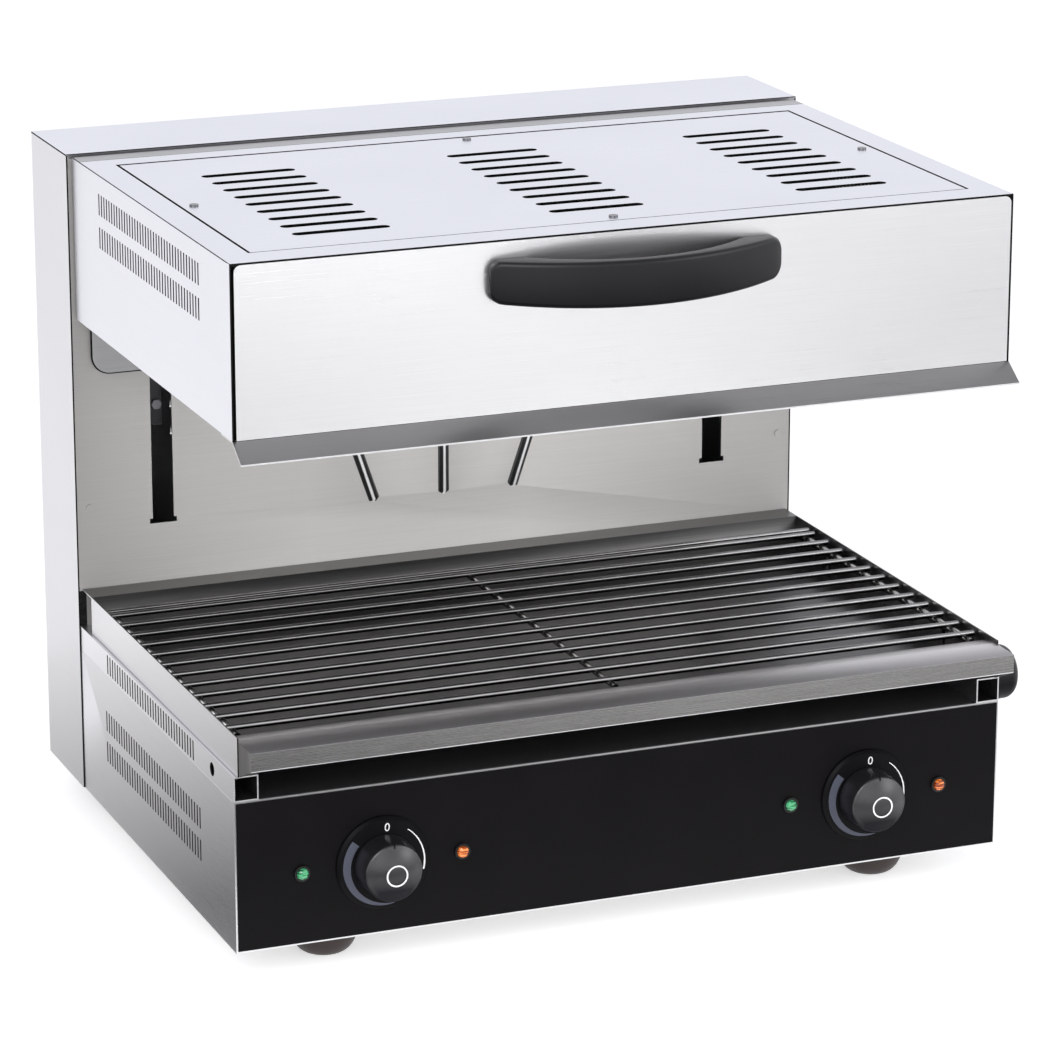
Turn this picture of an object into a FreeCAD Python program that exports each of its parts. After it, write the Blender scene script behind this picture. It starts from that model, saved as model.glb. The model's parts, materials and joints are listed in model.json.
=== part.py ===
import FreeCAD, Part

import os

import Sketcher
from FreeCAD import Vector

# Countertop cheese melter: a heated head that rises and falls on a rear column over a rack and a drip tray.
# The working frame has X = 0 at the middle, Y = 0 at the front of the column and Z = 0 under the base.
# Each body is then placed so that the part's origin is the bottom centre of the whole part.

SIZES = [
    # Overall
    ("body_width", 600), ("column_depth", 93), ("column_height", 500.5), ("foot_height", 25), ("skin", 1.2),
    ("overrun", 2), ("slide_gap", 0.3), ("fit_gap", 0.05), ("screw_gap", 0.2),
    # Column
    ("return_width", 20), ("cap_front_flange", 2.6), ("cap_rear_flange", 10), ("cap_slit", 0.8),
    ("plate_slot_x", 230.5), ("plate_slot_width", 17), ("plate_slot_low", 207), ("plate_slot_drop", 13.5),
    ("plate_slot_foot_width", 21.5), ("plate_slot_foot_height", 4), ("bead_low", 202.5),
    ("bead_length", 120), ("bead_radius", 5.3), ("bead_sink", 2.8), ("bead_x", 56.5), ("bead_lean", 19),
    ("plate_screw_x", 289), ("plate_screw_z", 225), ("member_thickness", 3), ("member_width", 84),
    ("upper_member_drop", 15.5), ("louvre_length", 150), ("louvre_x", 120), ("louvre_drop", 250.5),
    ("louvre_pitch", 22), ("louvre_count", 9), ("louvre_opening", 6), ("louvre_reach", 4.5),
    ("louvre_root", 2.4),
    # Lift
    ("travel", 150), ("rod_radius", 6), ("rod_y", 58), ("bush_radius", 8), ("boss_radius", 14),
    ("arm_thickness", 10), ("arm_low_drop", 137), ("arm_high_drop", 18), ("tail_front", 14),
    ("tail_drop", 218), ("upper_bush_length", 40), ("lower_bush_length", 35), ("carriage_bolt_drop", 201),
    ("carriage_bolt_radius", 3.6), ("carriage_bolt_height", 3), ("bolt_shank_radius", 1.8),
    ("bolt_shank_length", 20), ("collar_radius", 12), ("collar_height", 10), ("stop_gap", 0.3),
    ("crossbar_drop", 53), ("crossbar_height", 28), ("crossbar_front", 26), ("crossbar_depth", 16),
    ("crossbar_wall", 2.5), ("strut_x", 150), ("strut_y", 34), ("strut_radius", 9), ("strut_bore", 7.5),
    ("strut_drop", 214), ("strut_cap", 12), ("strut_floor", 4), ("strut_rod_radius", 4),
    ("piston_length", 10),
    # Head
    ("head_half_width", 296.5), ("head_gap", 5), ("head_reach", 376), ("head_drop", 1.5),
    ("head_height", 124), ("rim_thickness", 2.4), ("front_return", 24), ("panel_gap_left", 1.9),
    ("panel_gap_right", 0.4), ("panel_side_return", 9), ("panel_corner", 5), ("lid_side_margin", 23.5),
    ("lid_rear", 43), ("lid_front", 348.5), ("lid_gap", 1.2), ("ledge_width", 20), ("lid_slot_length", 72),
    ("lid_slot_width", 9), ("lid_slot_rear", 105.5), ("lid_slot_pitch", 25.25), ("lid_slot_count", 9),
    ("lid_bank_margin", 81), ("lid_screw_inset", 10), ("visor_reach", 18), ("visor_drop", 12),
    ("shield_side_margin", 10.5), ("shield_low_drop", 169), ("shield_high_drop", 9), ("shield_corner", 15),
    ("reflector_drop", 87), ("reflector_inset", 8.3), ("reflector_flange", 14), ("heater_radius", 4),
    ("heater_drop", 109), ("heater_inner_x", 46), ("heater_side_gap", 51.3), ("heater_front", 320),
    ("heater_rear", 100), ("bracket_drop", 117), ("bracket_thickness", 2), ("bracket_front_y", 280),
    ("bracket_rear_y", 150), ("head_vent_rear", 72), ("head_vent_upper_drop", 30),
    ("head_vent_lower_drop", 55), ("head_vent_height", 16), ("head_vent_count", 38), ("vent_width", 2.6),
    ("vent_pitch", 6.35),
    # Handle
    ("handle_half_length", 110), ("handle_drop", 47), ("handle_height", 33.5), ("handle_reach", 40),
    ("handle_end_reach", 7), ("handle_foot", 27), ("handle_gap_middle", 31), ("handle_thread", 8),
    ("handle_corner", 10), ("handle_round", 3.5),
    # Base
    ("base_inset", 1), ("base_depth", 372), ("base_height", 113), ("fascia_thickness", 0.8),
    ("fascia_margin", 1.4), ("rail_width", 18.3), ("rail_height", 18.6), ("rail_wall", 1),
    ("rail_hole_radius", 5), ("rail_hole_rise", 9), ("base_vent_rear", 65), ("base_vent_upper_drop", 46),
    ("base_vent_lower_drop", 70.5), ("base_vent_height", 16), ("base_vent_count", 37),
    ("rail_vent_rear", 71), ("rail_vent_rise", 1.5), ("rail_vent_height", 15), ("rail_vent_count", 34),
    # Side bumper
    ("bumper_inset", 48), ("bumper_rise", 5), ("bumper_radius", 21.5), ("bumper_tip_radius", 20.5),
    ("bumper_length", 34), ("bumper_round", 8), ("bumper_recess_radius", 7), ("bumper_recess_depth", 9),
    # Controls
    ("knob_x", 189.5), ("knob_height_share", 0.478), ("dial_radius", 35), ("dial_thickness", 4),
    ("dial_bevel", 2), ("grip_radius", 22.5), ("grip_face_radius", 18), ("grip_reach", 31),
    ("grip_crown", 2), ("grip_shoulder", 7), ("knob_gap", 0.4), ("spindle_radius", 3),
    ("spindle_length", 40), ("spindle_socket", 16), ("panel_hole_radius", 6), ("notch_width", 2),
    ("notch_depth", 1.2), ("pilot_inner_x", 129), ("pilot_outer_x", 250), ("lens_radius", 4.4),
    ("lens_reach", 5), ("lens_body_radius", 3.6), ("lens_body_length", 26), ("pilot_ring_width", 1.4),
    ("pilot_ring_reach", 2), ("thermostat_width", 42), ("thermostat_height", 36), ("thermostat_depth", 38),
    ("thermostat_neck_radius", 9), ("thermostat_neck_length", 8),
    # Feet
    ("foot_x", 218), ("foot_front_inset", 46), ("foot_rear_y", 32), ("foot_radius", 25),
    ("foot_tip_radius", 22), ("foot_round", 3), ("foot_recess_radius", 8), ("foot_recess_depth", 10),
    # Fasteners
    ("screw_radius", 2.4), ("screw_head_radius", 3.3), ("screw_head_height", 1.2), ("screw_length", 6),
    ("plate_screw_head_radius", 2.8), ("plate_screw_head_height", 0.8), ("plate_screw_radius", 1.6),
    ("foot_screw_head_radius", 6), ("foot_screw_head_height", 4),
    # Supply
    ("gland_x", 200), ("gland_z", 60), ("gland_radius", 12), ("gland_bore", 5.5), ("gland_reach", 14),
    ("gland_neck_radius", 9), ("gland_collar", 5), ("gland_nut", 6), ("terminal_width", 64),
    ("terminal_depth", 24), ("terminal_height", 22), ("terminal_y", 60),
    # Tray
    ("tray_half_width", 296.5), ("tray_height", 29), ("tray_wall", 1), ("tray_rear", 23),
    ("tray_rim_end", 1), ("tray_side_front", 374), ("ramp_rear", 350), ("ramp_front", 371),
    ("ramp_drop", 4), ("lip_front", 401), ("lip_drop", 2.8), ("lip_face_height", 14), ("lip_end_gap", 1),
    # Rack
    ("rack_half_width", 293.5), ("rack_frame_x", 288), ("rack_frame_rear", 41), ("rack_frame_front", 348),
    ("rack_frame_radius", 3), ("rack_corner", 18), ("rack_wire_radius", 2.2), ("rack_wire_top", 27),
    ("rack_weld", 1), ("rack_first_wire", 51), ("rack_wire_rear", 61.5), ("rack_wire_pitch", 25.25),
    ("rack_wire_count", 12), ("rack_leg_rear", 100), ("rack_leg_front", 300),
]

SIDES = [("left", -1), ("right", 1)]


class Term:
    """A value together with the sheet expression that gives it."""

    def __init__(self, value, text):
        self.value = float(value)
        self.text = text

    def __float__(self):
        return self.value

    def __add__(self, other):
        other = term(other)
        return Term(self.value + other.value, "(%s + %s)" % (self.text, other.text))

    def __sub__(self, other):
        other = term(other)
        return Term(self.value - other.value, "(%s - %s)" % (self.text, other.text))

    def __mul__(self, other):
        other = term(other)
        return Term(self.value * other.value, "(%s * %s)" % (self.text, other.text))

    def __truediv__(self, other):
        other = term(other)
        return Term(self.value / other.value, "(%s / %s)" % (self.text, other.text))

    def __rsub__(self, other):
        return term(other) - self

    def __neg__(self):
        return term(0) - self

    __radd__ = __add__
    __rmul__ = __mul__


def term(thing):
    """Wrap a plain number as a term."""
    return thing if isinstance(thing, Term) else Term(thing, repr(thing))


class Sizes:
    """The sheet's cells as terms, one attribute for each alias."""

    def __init__(self, doc):
        sheet = doc.addObject("Spreadsheet::Sheet", "Sizes")
        for row, (alias, value) in enumerate(SIZES, start=1):
            sheet.set("A%d" % row, alias)
            sheet.set("B%d" % row, str(value))
            sheet.setAlias("B%d" % row, alias)
        doc.recompute()
        for alias, value in SIZES:
            setattr(self, alias, Term(sheet.get(alias), "Sizes." + alias))


doc = FreeCAD.newDocument("CheeseMelter")
d = Sizes(doc)
parts = []
cuts = []

# Shared levels and half widths, worked out from the driving sizes.
half = d.body_width / 2
side_inner = half - d.skin
base_half = half - d.base_inset
base_inner = base_half - d.skin
plate_top = d.column_height - d.cap_front_flange - d.cap_slit
plate_slot_high = d.column_height - d.plate_slot_drop
upper_member_z = d.column_height - d.upper_member_drop
louvre_low = d.column_height - d.louvre_drop
head_top = d.column_height - d.head_drop
head_low = head_top - d.head_height
arm_low = head_top - d.arm_low_drop
arm_high = head_top - d.arm_high_drop
tail_low = head_top - d.tail_drop
carriage_bolt_z = head_top - d.carriage_bolt_drop
crossbar_low = head_top - d.crossbar_drop
strut_top = head_top - d.strut_drop
lid_half_width = d.head_half_width - d.lid_side_margin
shield_half_width = d.head_half_width - d.shield_side_margin
shield_low = head_top - d.shield_low_drop
shield_high = head_top - d.shield_high_drop
reflector_z = head_top - d.reflector_drop
heater_z = head_top - d.heater_drop
bracket_low = head_top - d.bracket_drop
handle_low = head_top - d.handle_drop
head_inner = d.head_half_width - d.skin
lid_bank_x = lid_half_width - d.lid_bank_margin
heater_bends = 3
heater_bend = (head_inner - d.heater_side_gap - d.heater_inner_x) / (2 * heater_bends)
head_front = -d.head_reach
panel_back = -d.base_depth + d.skin
panel_front = -d.base_depth
fascia_front = panel_front - d.fascia_thickness
rail_top = d.base_height + d.rail_height
rail_vent_low = d.base_height + d.rail_vent_rise
knob_z = d.base_height * d.knob_height_share
bumper_y = d.base_depth - d.bumper_inset
bumper_z = d.base_height + d.bumper_rise
foot_front_y = d.base_depth - d.foot_front_inset
tray_low = rail_top + d.slide_gap
tray_top = tray_low + d.tray_height
tray_floor = tray_low + d.tray_wall
shield_back = -d.head_gap + d.skin
origin_x = (base_half + d.bumper_length - half) / 2
origin_y = (d.column_depth + d.gland_reach - d.head_reach - d.handle_reach) / 2


def bind(thing, path, value):
    """Tie a property to the sheet, or set it where it holds no size."""
    thing.setExpression(path, term(value).text)


def feature_of(body, role):
    return next(item for item in body.Origin.OriginFeatures if item.Role == role)


def new_body(name):
    """Start a sub-part whose frame is the working frame."""
    body = doc.addObject("PartDesign::Body", name)
    body.Label = name
    bind(body, "Placement.Base.x", -origin_x)
    bind(body, "Placement.Base.y", -origin_y)
    bind(body, "Placement.Base.z", d.foot_height)
    parts.append(body)
    return body


def new_sketch(body, plane, level, shift=(0, 0), lean=0):
    """Attach a sketch to one of the body's planes, at a level along the matching axis."""
    sketch = body.newObject("Sketcher::SketchObject", "Profile")
    sketch.AttachmentSupport = (feature_of(body, plane + "_Plane"), [""])
    sketch.MapMode = "FlatFace"
    level = -term(level) if plane == "XZ" else level
    bind(sketch, "AttachmentOffset.Base.x", shift[0])
    bind(sketch, "AttachmentOffset.Base.y", shift[1])
    bind(sketch, "AttachmentOffset.Base.z", level)
    bind(sketch, "AttachmentOffset.Rotation.Angle", lean)
    return sketch


def hold(sketch, spots):
    """Hold each named point at its place, measured from the sketch's origin."""
    rules = []
    values = []
    for geometry, point, u, v in spots:
        for kind, value in (("DistanceX", u), ("DistanceY", v)):
            rules.append(Sketcher.Constraint(kind, -1, 1, geometry, point, float(value)))
            values.append(value)
    for index, value in zip(sketch.addConstraint(rules), values):
        if isinstance(value, Term):
            bind(sketch, "Constraints[%d]" % index, value)


def outline(sketch, points, bulges=None):
    """Draw a closed outline; bulges gives an edge's rise, to the right of its direction when positive."""
    bulges = bulges or {}
    count = len(points)
    first = sketch.GeometryCount
    radii = []
    ends = []
    for index, start in enumerate(points):
        end = points[(index + 1) % count]
        a = Vector(float(start[0]), float(start[1]), 0)
        b = Vector(float(end[0]), float(end[1]), 0)
        if index not in bulges:
            sketch.addGeometry(Part.LineSegment(a, b), False)
            ends.append((1, 2))
            continue
        rise = term(bulges[index])
        along = (b - a).normalize()
        crown = (a + b) * 0.5 + Vector(along.y, -along.x, 0) * float(rise)
        sketch.addGeometry(Part.Arc(a, crown, b), False)
        ends.append((1, 2) if float(rise) > 0 else (2, 1))
        across = term(end[0]) - start[0]
        up = term(end[1]) - start[1]
        height = rise if float(rise) > 0 else -rise
        radius = ((across * across + up * up) / 4 + rise * rise) / (2 * height)
        half_circle = abs(float(height) * 2 - (b - a).Length) < 1e-6
        middle = ((term(start[0]) + end[0]) / 2, (term(start[1]) + end[1]) / 2)
        radii.append((first + index, radius, half_circle, *middle))
    rules = []
    for index in range(count):
        after = (index + 1) % count
        joined = (first + index, ends[index][1], first + after, ends[after][0])
        rules.append(Sketcher.Constraint("Coincident", *joined))
    sketch.addConstraint(rules)
    hold(sketch, [(first + i, ends[i][0], u, v) for i, (u, v) in enumerate(points)])
    for geometry, radius, half_circle, u, v in radii:
        if half_circle:
            flat = float(points[geometry - first][0]) == float(points[(geometry - first + 1) % count][0])
            kind, value = ("DistanceX", u) if flat else ("DistanceY", v)
            index = sketch.addConstraint(Sketcher.Constraint(kind, -1, 1, geometry, 3, float(value)))
            bind(sketch, "Constraints[%d]" % index, value)
            continue
        index = sketch.addConstraint(Sketcher.Constraint("Radius", geometry, float(radius)))
        bind(sketch, "Constraints[%d]" % index, radius)


def box_outline(low_u, high_u, low_v, high_v):
    return [(low_u, low_v), (high_u, low_v), (high_u, high_v), (low_u, high_v)]


def circle(sketch, u, v, radius):
    sketch.addGeometry(Part.Circle(Vector(float(u), float(v), 0), Vector(0, 0, 1), float(radius)), False)
    geometry = sketch.GeometryCount - 1
    index = sketch.addConstraint(Sketcher.Constraint("Radius", geometry, float(radius)))
    bind(sketch, "Constraints[%d]" % index, radius)
    hold(sketch, [(geometry, 3, u, v)])


def draw(sketch, shape, bulges=None):
    """Draw a polygon, or a circle given as (u, v, radius)."""
    if isinstance(shape, tuple):
        circle(sketch, *shape)
    else:
        outline(sketch, shape, bulges)


def pad(body, plane, shapes, low, high, bulges=None):
    """Extrude outlines between two levels along the plane's axis."""
    sketch = new_sketch(body, plane, high if plane == "XZ" else low)
    for shape in shapes:
        draw(sketch, shape, bulges)
    feature = body.newObject("PartDesign::Pad", "Pad")
    feature.Profile = sketch
    bind(feature, "Length", term(high) - low)
    body.Tip = feature
    return feature


def cut(body, plane, shapes, low, high, bulges=None):
    """Cut outlines away between two levels along the plane's axis."""
    sketch = new_sketch(body, plane, low if plane == "XZ" else high)
    for shape in shapes:
        draw(sketch, shape, bulges)
    feature = body.newObject("PartDesign::Pocket", "Cut")
    feature.Profile = sketch
    bind(feature, "Length", term(high) - low)
    body.Tip = feature
    cuts.append(feature)
    return feature


def repeat(body, features, axis, pitch, count, backwards=False):
    """Copy features in a row along one of the body's axes."""
    row = body.newObject("PartDesign::LinearPattern", "Row")
    row.Originals = features
    row.Direction = (feature_of(body, axis + "_Axis"), [""])
    row.Mode = "Spacing"
    row.Reversed = backwards
    bind(row, "Offset", pitch)
    bind(row, "Occurrences", count)
    body.Tip = row
    return row


def turn(body, axis, centre, points, bulges=None):
    """Revolve an outline of radii and levels about an axis through the centre."""
    x, y, z = centre
    sketch = new_sketch(body, "XZ", y, (x, z)) if axis == "Z" else new_sketch(body, "XY", z, (x, y))
    outline(sketch, points, bulges)
    feature = body.newObject("PartDesign::Revolution", "Turn")
    feature.Profile = sketch
    feature.ReferenceAxis = (sketch, ["H_Axis" if axis == "X" else "V_Axis"])
    feature.Angle = 360
    body.Tip = feature
    return feature


def round_edges(body, radius, wanted):
    """Fillet the edges of the tip that pass a test."""
    doc.recompute()
    base = body.Tip
    names = ["Edge%d" % (i + 1) for i, edge in enumerate(base.Shape.Edges) if wanted(edge)]
    if not names:
        raise RuntimeError("no edge to round on " + body.Label)
    feature = body.newObject("PartDesign::Fillet", "Round")
    feature.Base = (base, names)
    bind(feature, "Radius", radius)
    body.Tip = feature
    return feature


def flat_vector(point):
    return Vector(float(point[0]), float(point[1]), 0)


def near(value, target):
    return abs(value - float(target)) < 1e-4


def runs_along(edge, axis):
    """Tell whether a straight edge runs along an axis."""
    if len(edge.Vertexes) != 2 or edge.Curve.TypeId != "Part::GeomLine":
        return False
    return near(abs(edge.tangentAt(edge.FirstParameter).dot(axis)), 1)


# Column


def column_side(name, hand):
    """Side panel of the column with a flange behind the plate and one inside the rear cover."""
    body = new_body(name)
    outer, inner, tip = hand * half, hand * side_inner, hand * (side_inner - d.return_width)
    front_in, front_out = d.skin, d.skin * 2
    rear_out, rear_in = d.column_depth - d.skin, d.column_depth - d.skin * 2
    points = [(outer, 0), (outer, d.column_depth), (inner, d.column_depth), (inner, rear_out),
              (tip, rear_out), (tip, rear_in), (inner, rear_in), (inner, front_out), (tip, front_out),
              (tip, front_in), (inner, front_in), (inner, 0)]
    pad(body, "XY", [points], 0, d.column_height - d.skin)
    hole = (hand * d.plate_screw_x, d.plate_screw_z, d.plate_screw_radius + d.screw_gap)
    cut(body, "XZ", [hole], 0, front_out + d.overrun)


def column_top_cap():
    body = new_body("column_top_cap")
    under = d.column_height - d.skin
    pad(body, "XY", [box_outline(-half, half, 0, d.column_depth)], under, d.column_height)
    pad(body, "XY", [box_outline(-side_inner, side_inner, 0, d.skin)], plate_top, under)
    rear = d.column_depth - d.skin
    low = d.column_height - d.cap_rear_flange
    pad(body, "XY", [box_outline(-side_inner, side_inner, rear, d.column_depth)], low, under)


def plate_slot(hand):
    """Outline of a carriage slot, which widens at its foot."""
    x = hand * d.plate_slot_x
    side, foot = d.plate_slot_width / 2, d.plate_slot_foot_width / 2
    step = d.plate_slot_low + d.plate_slot_foot_height
    return [(x - foot, d.plate_slot_low), (x + foot, d.plate_slot_low), (x + foot, step), (x + side, step),
            (x + side, plate_slot_high), (x - side, plate_slot_high), (x - side, step), (x - foot, step)]


def back_plate():
    body = new_body("back_plate")
    pad(body, "XZ", [box_outline(-side_inner, side_inner, d.base_height, plate_top)], 0, d.skin)
    cut(body, "XZ", [plate_slot(-1), plate_slot(1)], -d.overrun, d.skin + d.overrun)
    radius = d.plate_screw_radius + d.screw_gap
    holes = [(hand * d.plate_screw_x, d.plate_screw_z, radius) for _, hand in SIDES]
    cut(body, "XZ", holes, -d.overrun, d.skin + d.overrun)
    for lean in (-1, 0, 1):
        # A pressed bead is a round bar sunk in the sheet, with pointed ends, leaning outward as it rises.
        sketch = new_sketch(body, "XZ", d.bead_sink, (lean * d.bead_x, d.bead_low), -lean * d.bead_lean)
        radius = d.bead_radius
        points = [(0, 0), (radius, radius), (radius, d.bead_length - radius), (0, d.bead_length)]
        outline(sketch, points)
        bead = body.newObject("PartDesign::Revolution", "Bead")
        bead.Profile = sketch
        bead.ReferenceAxis = (sketch, ["V_Axis"])
        bead.Angle = 180
        bead.Reversed = True
        body.Tip = bead
    spread = d.bead_x + d.bead_length
    behind = box_outline(-spread, spread, d.bead_low - d.overrun, d.bead_low + d.bead_length + d.overrun)
    cut(body, "XZ", [behind], d.skin, d.bead_sink + d.overrun)


def column_rear_cover():
    body = new_body("column_rear_cover")
    rear, front = d.column_depth, d.column_depth - d.skin
    top = d.column_height - d.cap_rear_flange
    pad(body, "XZ", [box_outline(-side_inner, side_inner, 0, top)], front, rear)
    gland = (d.gland_x, d.gland_z, d.gland_neck_radius)
    cut(body, "XZ", [gland], front - d.overrun, rear + d.overrun)
    for _, hand in SIDES:
        low_x, high_x = hand * d.louvre_x - d.louvre_length / 2, hand * d.louvre_x + d.louvre_length / 2
        low, opening = louvre_low, louvre_low + d.louvre_opening
        blade = [(rear, opening), (rear + d.louvre_reach - d.skin, low), (rear + d.louvre_reach, low),
                 (rear, opening + d.louvre_root)]
        hood = pad(body, "YZ", [blade], low_x, high_x)
        slot = cut(body, "XZ", [box_outline(low_x, high_x, low, opening)], front - d.overrun, rear)
        repeat(body, [hood, slot], "Z", d.louvre_pitch, d.louvre_count)


def cross_member(name, low):
    """Flat bar across the column that carries the rods."""
    body = new_body(name)
    middle = d.column_depth / 2
    edges = (middle - d.member_width / 2, middle + d.member_width / 2)
    pad(body, "XY", [box_outline(-side_inner, side_inner, *edges)], low, low + d.member_thickness)
    return body


# Lift


def guide_rod(name, hand):
    body = new_body(name)
    pad(body, "XY", [(hand * d.plate_slot_x, d.rod_y, d.rod_radius)], d.member_thickness, upper_member_z)


def stop_collars():
    """Clamped rings that end the carriages' travel at both ends of the rods."""
    body = new_body("stop_collars")
    low_top = tail_low - d.travel - d.stop_gap
    high_low = arm_high + d.stop_gap
    for _, hand in SIDES:
        for low, high in ((low_top - d.collar_height, low_top), (high_low, upper_member_z)):
            spot = (hand * d.plate_slot_x, d.rod_y)
            pad(body, "XY", [spot + (d.collar_radius,), spot + (d.rod_radius + d.fit_gap,)], low, high)


def carriage(name, hand):
    """Arm plate that reaches through the slot, with two bush housings on the rod."""
    body = new_body(name)
    x = hand * d.plate_slot_x
    back = d.rod_y - d.bush_radius - d.skin
    points = [(shield_back, arm_low), (d.tail_front, arm_low), (d.tail_front, tail_low), (back, tail_low),
              (back, arm_high), (shield_back, arm_high)]
    pad(body, "YZ", [points], x - d.arm_thickness / 2, x + d.arm_thickness / 2)
    pad(body, "XY", [(x, d.rod_y, d.boss_radius)], arm_high - d.upper_bush_length, arm_high)
    pad(body, "XY", [(x, d.rod_y, d.boss_radius)], tail_low, tail_low + d.lower_bush_length)
    cut(body, "XY", [(x, d.rod_y, d.bush_radius)], tail_low - d.overrun, arm_high + d.overrun)
    hole = (x, carriage_bolt_z, d.bolt_shank_radius + d.screw_gap)
    cut(body, "XZ", [hole], d.tail_front - d.overrun, d.tail_front + d.bolt_shank_length + d.overrun)


def guide_bushes():
    """Plain bushes pressed into the carriages' housings."""
    body = new_body("guide_bushes")
    for _, hand in SIDES:
        x = hand * d.plate_slot_x
        rings = [(x, d.rod_y, d.bush_radius), (x, d.rod_y, d.rod_radius + d.fit_gap)]
        pad(body, "XY", rings, arm_high - d.upper_bush_length, arm_high)
        pad(body, "XY", rings, tail_low, tail_low + d.lower_bush_length)


def hexagon(x, z, flat_radius):
    """Outline of a hexagon with two corners level with its centre."""
    corner_share = 1.1547
    corner = flat_radius * corner_share
    high, low = z + flat_radius, z - flat_radius
    return [(x + corner, z), (x + corner / 2, high), (x - corner / 2, high), (x - corner, z),
            (x - corner / 2, low), (x + corner / 2, low)]


def carriage_bolts():
    body = new_body("carriage_bolts")
    for _, hand in SIDES:
        x = hand * d.plate_slot_x
        head = hexagon(x, carriage_bolt_z, d.carriage_bolt_radius)
        pad(body, "XZ", [head], d.tail_front - d.carriage_bolt_height, d.tail_front)
        shank = (x, carriage_bolt_z, d.bolt_shank_radius)
        pad(body, "XZ", [shank], d.tail_front, d.tail_front + d.bolt_shank_length)


def lift_crossbar():
    body = new_body("lift_crossbar")
    end = d.plate_slot_x - d.arm_thickness / 2
    front, back = d.crossbar_front, d.crossbar_front + d.crossbar_depth
    low, high, wall = crossbar_low, crossbar_low + d.crossbar_height, d.crossbar_wall
    points = [(front, low), (back, low), (back, low + wall), (front + wall, low + wall),
              (front + wall, high - wall), (back, high - wall), (back, high), (front, high)]
    pad(body, "YZ", [points], -end, end)


def strut_tube(name, hand):
    """Outer tube of a gas strut: closed at its foot, with a gland at its top."""
    body = new_body(name)
    floor = d.member_thickness
    bore, gland = d.strut_bore, d.strut_rod_radius + d.fit_gap
    shoulder, cup = strut_top - d.strut_cap, floor + d.strut_floor
    points = [(0, floor), (d.strut_radius, floor), (d.strut_radius, strut_top), (gland, strut_top),
              (gland, shoulder), (bore, shoulder), (bore, cup), (0, cup)]
    turn(body, "Z", (hand * d.strut_x, d.strut_y, 0), points)


def strut_rods():
    """Pistons and rods of the gas struts, carried by the crossbar."""
    body = new_body("strut_rods")
    piston_high = strut_top - d.strut_cap - d.slide_gap
    piston_low = piston_high - d.piston_length
    piston = d.strut_bore - d.fit_gap
    points = [(0, piston_low), (piston, piston_low), (piston, piston_high), (d.strut_rod_radius, piston_high),
              (d.strut_rod_radius, crossbar_low), (0, crossbar_low)]
    for _, hand in SIDES:
        turn(body, "Z", (hand * d.strut_x, d.strut_y, 0), points)


# Head


def side_vents(body, hand, outer, rear, bands, count):
    """Rows of upright slots through a side wall."""
    low_x, high_x = outer - d.skin - d.overrun, outer + d.overrun
    if hand < 0:
        low_x, high_x = -outer - d.overrun, -outer + d.skin + d.overrun
    slots = []
    for low, height in bands:
        slot = box_outline(-rear - d.vent_width / 2, -rear + d.vent_width / 2, low, low + height)
        slots.append(cut(body, "YZ", [slot], low_x, high_x))
    return repeat(body, slots, "Y", d.vent_pitch, count, backwards=True)


def head_shell():
    """Sides, rear wall and rim of the head, open below and under the lid."""
    body = new_body("head_shell")
    front = head_front
    w, top = d.head_half_width, head_top
    pad(body, "XY", [box_outline(-w, w, front, -d.head_gap)], head_low, top)
    inside = box_outline(-head_inner, head_inner, front - d.overrun, -d.head_gap - d.skin)
    cut(body, "XY", [inside], head_low - d.overrun, top - d.rim_thickness)
    notch = box_outline(-head_inner, head_inner, front - d.overrun, front + d.skin + d.slide_gap)
    cut(body, "XY", [notch], head_low, top - d.skin)
    lid_x, lid_front, lid_rear = lid_half_width + d.lid_gap, -d.lid_front - d.lid_gap, -d.lid_rear + d.lid_gap
    cut(body, "XY", [box_outline(-lid_x, lid_x, lid_front, lid_rear)], top - d.skin, top + d.overrun)
    ledge = d.ledge_width
    opening = box_outline(-lid_x + ledge, lid_x - ledge, lid_front + ledge, lid_rear - ledge)
    cut(body, "XY", [opening], head_low, top)
    holes = [(x, y, d.screw_radius + d.screw_gap) for x, y in lid_screw_spots()]
    cut(body, "XY", holes, top - d.screw_length, top)
    drops = (d.head_vent_upper_drop, d.head_vent_lower_drop)
    bands = [(head_top - drop, d.head_vent_height) for drop in drops]
    for _, hand in SIDES:
        side_vents(body, hand, d.head_half_width, d.head_vent_rear, bands, d.head_vent_count)


def lid_screw_spots():
    x = lid_half_width - d.lid_screw_inset
    front, rear = -d.lid_front + d.lid_screw_inset, -d.lid_rear - d.lid_screw_inset
    middle = (front + rear) / 2
    return [(-x, middle), (x, middle), (term(0), front), (term(0), rear)]


def head_lid():
    body = new_body("head_lid")
    w, top = lid_half_width, head_top
    pad(body, "XY", [box_outline(-w, w, -d.lid_front, -d.lid_rear)], top - d.skin, top)
    holes = [(x, y, d.screw_radius + d.screw_gap) for x, y in lid_screw_spots()]
    cut(body, "XY", holes, top - d.skin - d.overrun, top + d.overrun)
    straight, r = (d.lid_slot_length - d.lid_slot_width) / 2, d.lid_slot_width / 2
    for bank in (-1, 0, 1):
        x, y = bank * lid_bank_x, -d.lid_slot_rear
        points = [(x - straight, y - r), (x + straight, y - r), (x + straight, y + r), (x - straight, y + r)]
        slot = cut(body, "XY", [points], top - d.skin - d.overrun, top + d.overrun, {1: r, 3: r})
        repeat(body, [slot], "Y", d.lid_slot_pitch, d.lid_slot_count, backwards=True)


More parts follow.
